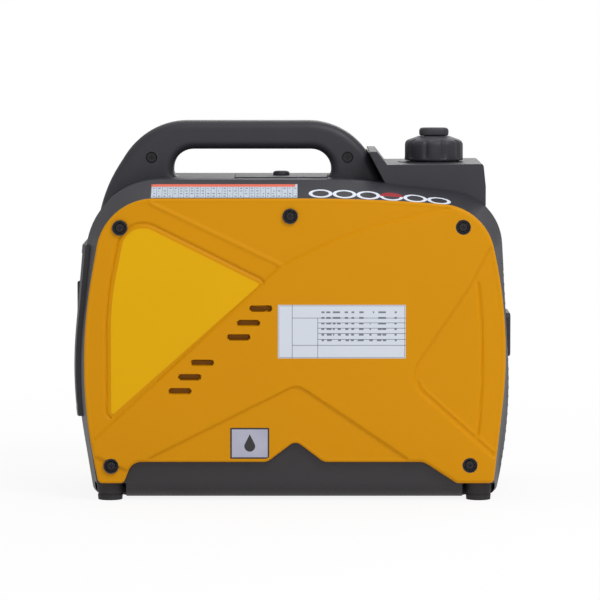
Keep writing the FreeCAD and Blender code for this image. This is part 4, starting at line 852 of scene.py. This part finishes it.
def smoothProfile(corners, closed, pieces):
    # each corner is eased by a quadratic curve, (1 - t)^2 start + 2 t (1 - t) corner + t^2 stop,
    # whose ends lie a set share of the way to the next corners
    corners = np.array(corners, float)
    share = 0.175
    t = np.linspace(0, 1, pieces)[None, :, None]
    start = corners + share * (np.roll(corners, 1, 0) - corners)
    stop = corners + share * (np.roll(corners, -1, 0) - corners)
    curve = (1 - t) ** 2 * start[:, None] + 2 * t * (1 - t) * corners[:, None] + t ** 2 * stop[:, None]
    return curve.reshape(-1, 2) if closed else curve[1:-1].reshape(-1, 2)


def buildFuelCap(spec, paint):
    # a profile turned round the cap's axis, its radius cut in at each rib groove
    low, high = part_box("fuel_cap")
    x, y = (low.x + high.x) / 2 / mm, (low.y + high.y) / 2 / mm
    profile = smoothProfile(spec["profile"], True, 5)
    turn = np.linspace(0, 2 * math.pi, spec["columns"], endpoint=False)[None]
    radius, height = profile[:, :1], profile[:, 1:]
    spacing = 2 * math.pi / spec["ribs"]
    offset = np.mod(turn + spacing / 2, spacing) - spacing / 2
    cut = spec["ribDepth"] * np.exp(-(offset / spec["ribWidth"]) ** 2)
    beyond = np.stack([radius, height]) - np.reshape(spec["ribsStart"], (2, 1, 1))
    share = eased(beyond / spec["ribsEase"]).prod(0)
    reach = radius - cut * share
    points = np.stack([x + reach * np.cos(turn), y + reach * np.sin(turn), height + 0 * turn], -1)
    count = len(profile)
    faces = wrapped(gridFaces(count + 1, spec["columns"], True), count * spec["columns"])
    cap = addPiece("fuelCap", points.reshape(-1, 3), faces, paint, "cap", 40.0)
    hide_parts("fuel_cap")


def buildVentDial(spec, paint):
    # a superellipse in plan, |x / wide|^power + |y / deep|^power = 1, scaled along its profile,
    # on a round stem
    low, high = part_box("vent_knob")
    x, y = (low.x + high.x) / 2 / mm, (low.y + high.y) / 2 / mm
    low, high = ((0.0, end) for end in spec["ends"])
    profile = smoothProfile([low] + spec["profile"] + [high], False, 4)
    turn = np.linspace(0, 2 * math.pi, spec["columns"], endpoint=False)
    c, sn = np.cos(turn), np.sin(turn)
    (wide, deep), power, stem = spec["half"], spec["power"], spec["stem"]
    reach = (np.abs(c / wide) ** power + np.abs(sn / deep) ** power) ** (-1 / power)
    scale, height = profile[:, :1], profile[:, 1:]
    onStem = (scale < stem["below"]) & (height < stem["top"])
    reach = np.where(onStem, stem["radius"] * scale / stem["share"], reach[None] * scale)
    points = np.stack([x + reach * c, y + reach * sn, height + 0 * turn], -1).reshape(-1, 3)
    faces = gridFaces(len(profile), spec["columns"], True)
    faces.append(list(range(spec["columns"]))[::-1])
    faces.append(list(range(len(points) - spec["columns"], len(points))))
    dial = addPiece("ventDial", points, faces, paint, "vent", 40.0)
    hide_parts("vent_knob")


# Seal between the handle's leg and the tank cover
legSeal = {"outline": [(97.6, 320.0, 0.3), (77.2, 357.2, 0.3), (71.0, 357.2, 0.3), (94.0, 320.0, 0.3)],
           "half": 14.0}


def buildLegSeal(spec, paint):
    # the outline drawn across the handle
    loop, _ = roundedOutline(spec["outline"], 1.0)
    count = len(loop)
    near = np.stack([loop[:, 0], np.full(count, -spec["half"]), loop[:, 1]], -1)
    faces = [list(range(count)), list(range(2 * count - 1, count - 1, -1))]
    faces += flipped(gridFaces(2, count, True))
    far = near + (0, 2 * spec["half"], 0)
    addPiece("legSeal", np.vstack([near, far]), faces, paint, "case", 30.0)


# Floor and sky
floorSheet = {"half": 9.0, "grey": 0.86, "nearGlow": 0.88, "glowRise": 0.09}


def seenWhite(finish):
    # 1 for the camera, mirrors and glass, 0 for every other ray
    path = finish.make("ShaderNodeLightPath")
    mirrored = path.pick("Is Glossy Ray").upTo(path.pick("Is Transmission Ray"))
    return path.pick("Is Camera Ray").upTo(mirrored)


def buildFloor(spec):
    # seen rays meet a glow of nearGlow + glowRise * distance squared, never over 1; others plain grey
    finish = Finish("floorPaint")
    diffuse = finish.make("ShaderNodeBsdfDiffuse", inputs={"Color": (spec["grey"],) * 3 + (1,)})
    glow = finish.make("ShaderNodeEmission", inputs={"Color": (1, 1, 1, 1), "Strength": 1.0})
    x, y, _ = finish.axes()
    level = (x * x + y * y) * spec["glowRise"] + spec["nearGlow"]
    seen = seenWhite(finish) * level.atMost(1.0)
    mixed = finish.make("ShaderNodeMixShader", inputs={0: seen, 1: diffuse, 2: glow})
    finish.make("ShaderNodeOutputMaterial", inputs={"Surface": mixed})
    mesh = bpy.data.meshes.new("floor")
    half = spec["half"]
    corners = [(-half, -half, 0), (half, -half, 0), (half, half, 0), (-half, half, 0)]
    mesh.from_pydata(corners, [], [(0, 1, 2, 3)])
    mesh.materials.append(finish.material)
    floor = bpy.data.objects.new("floor", mesh)
    bpy.context.scene.collection.objects.link(floor)


def buildSky(strength):
    # white to the camera, and as bright as the strength for the light it gives
    world = bpy.data.worlds.new("sky")
    bpy.context.scene.world = world
    world.use_nodes = True
    tree = world.node_tree
    tree.nodes.clear()
    path = tree.nodes.new("ShaderNodeLightPath")
    seen = Wire(tree, path.outputs["Is Camera Ray"])
    level = seen * (1 - strength) + strength
    background = tree.nodes.new("ShaderNodeBackground")
    background.inputs["Color"].default_value = (1, 1, 1, 1)
    tree.links.new(level.socket, background.inputs["Strength"])
    output = tree.nodes.new("ShaderNodeOutputWorld")
    tree.links.new(background.outputs[0], output.inputs["Surface"])


target = placeCamera(studio)
placeLamps(studio, target)
buildSky(studio["skyStrength"])
buildFloor(floorSheet)
paints = paintNodes()
print("nodes painted")
buildPanels(sidePanel, paints["yellow_plastic"])
buildScrewCups(screwCup, paints["black_plastic"])
buildLabels(labels)
buildRope(starterRope, paints["rope"])
buildLegSeal(legSeal, paints["rubber"])
buildFuelCap(fuelCap, paints["black_plastic"])
buildVentDial(ventDial, paints["black_plastic"])
print("cap, dial, rope and seal built")

bpy.context.scene.view_settings.view_transform = "Standard"
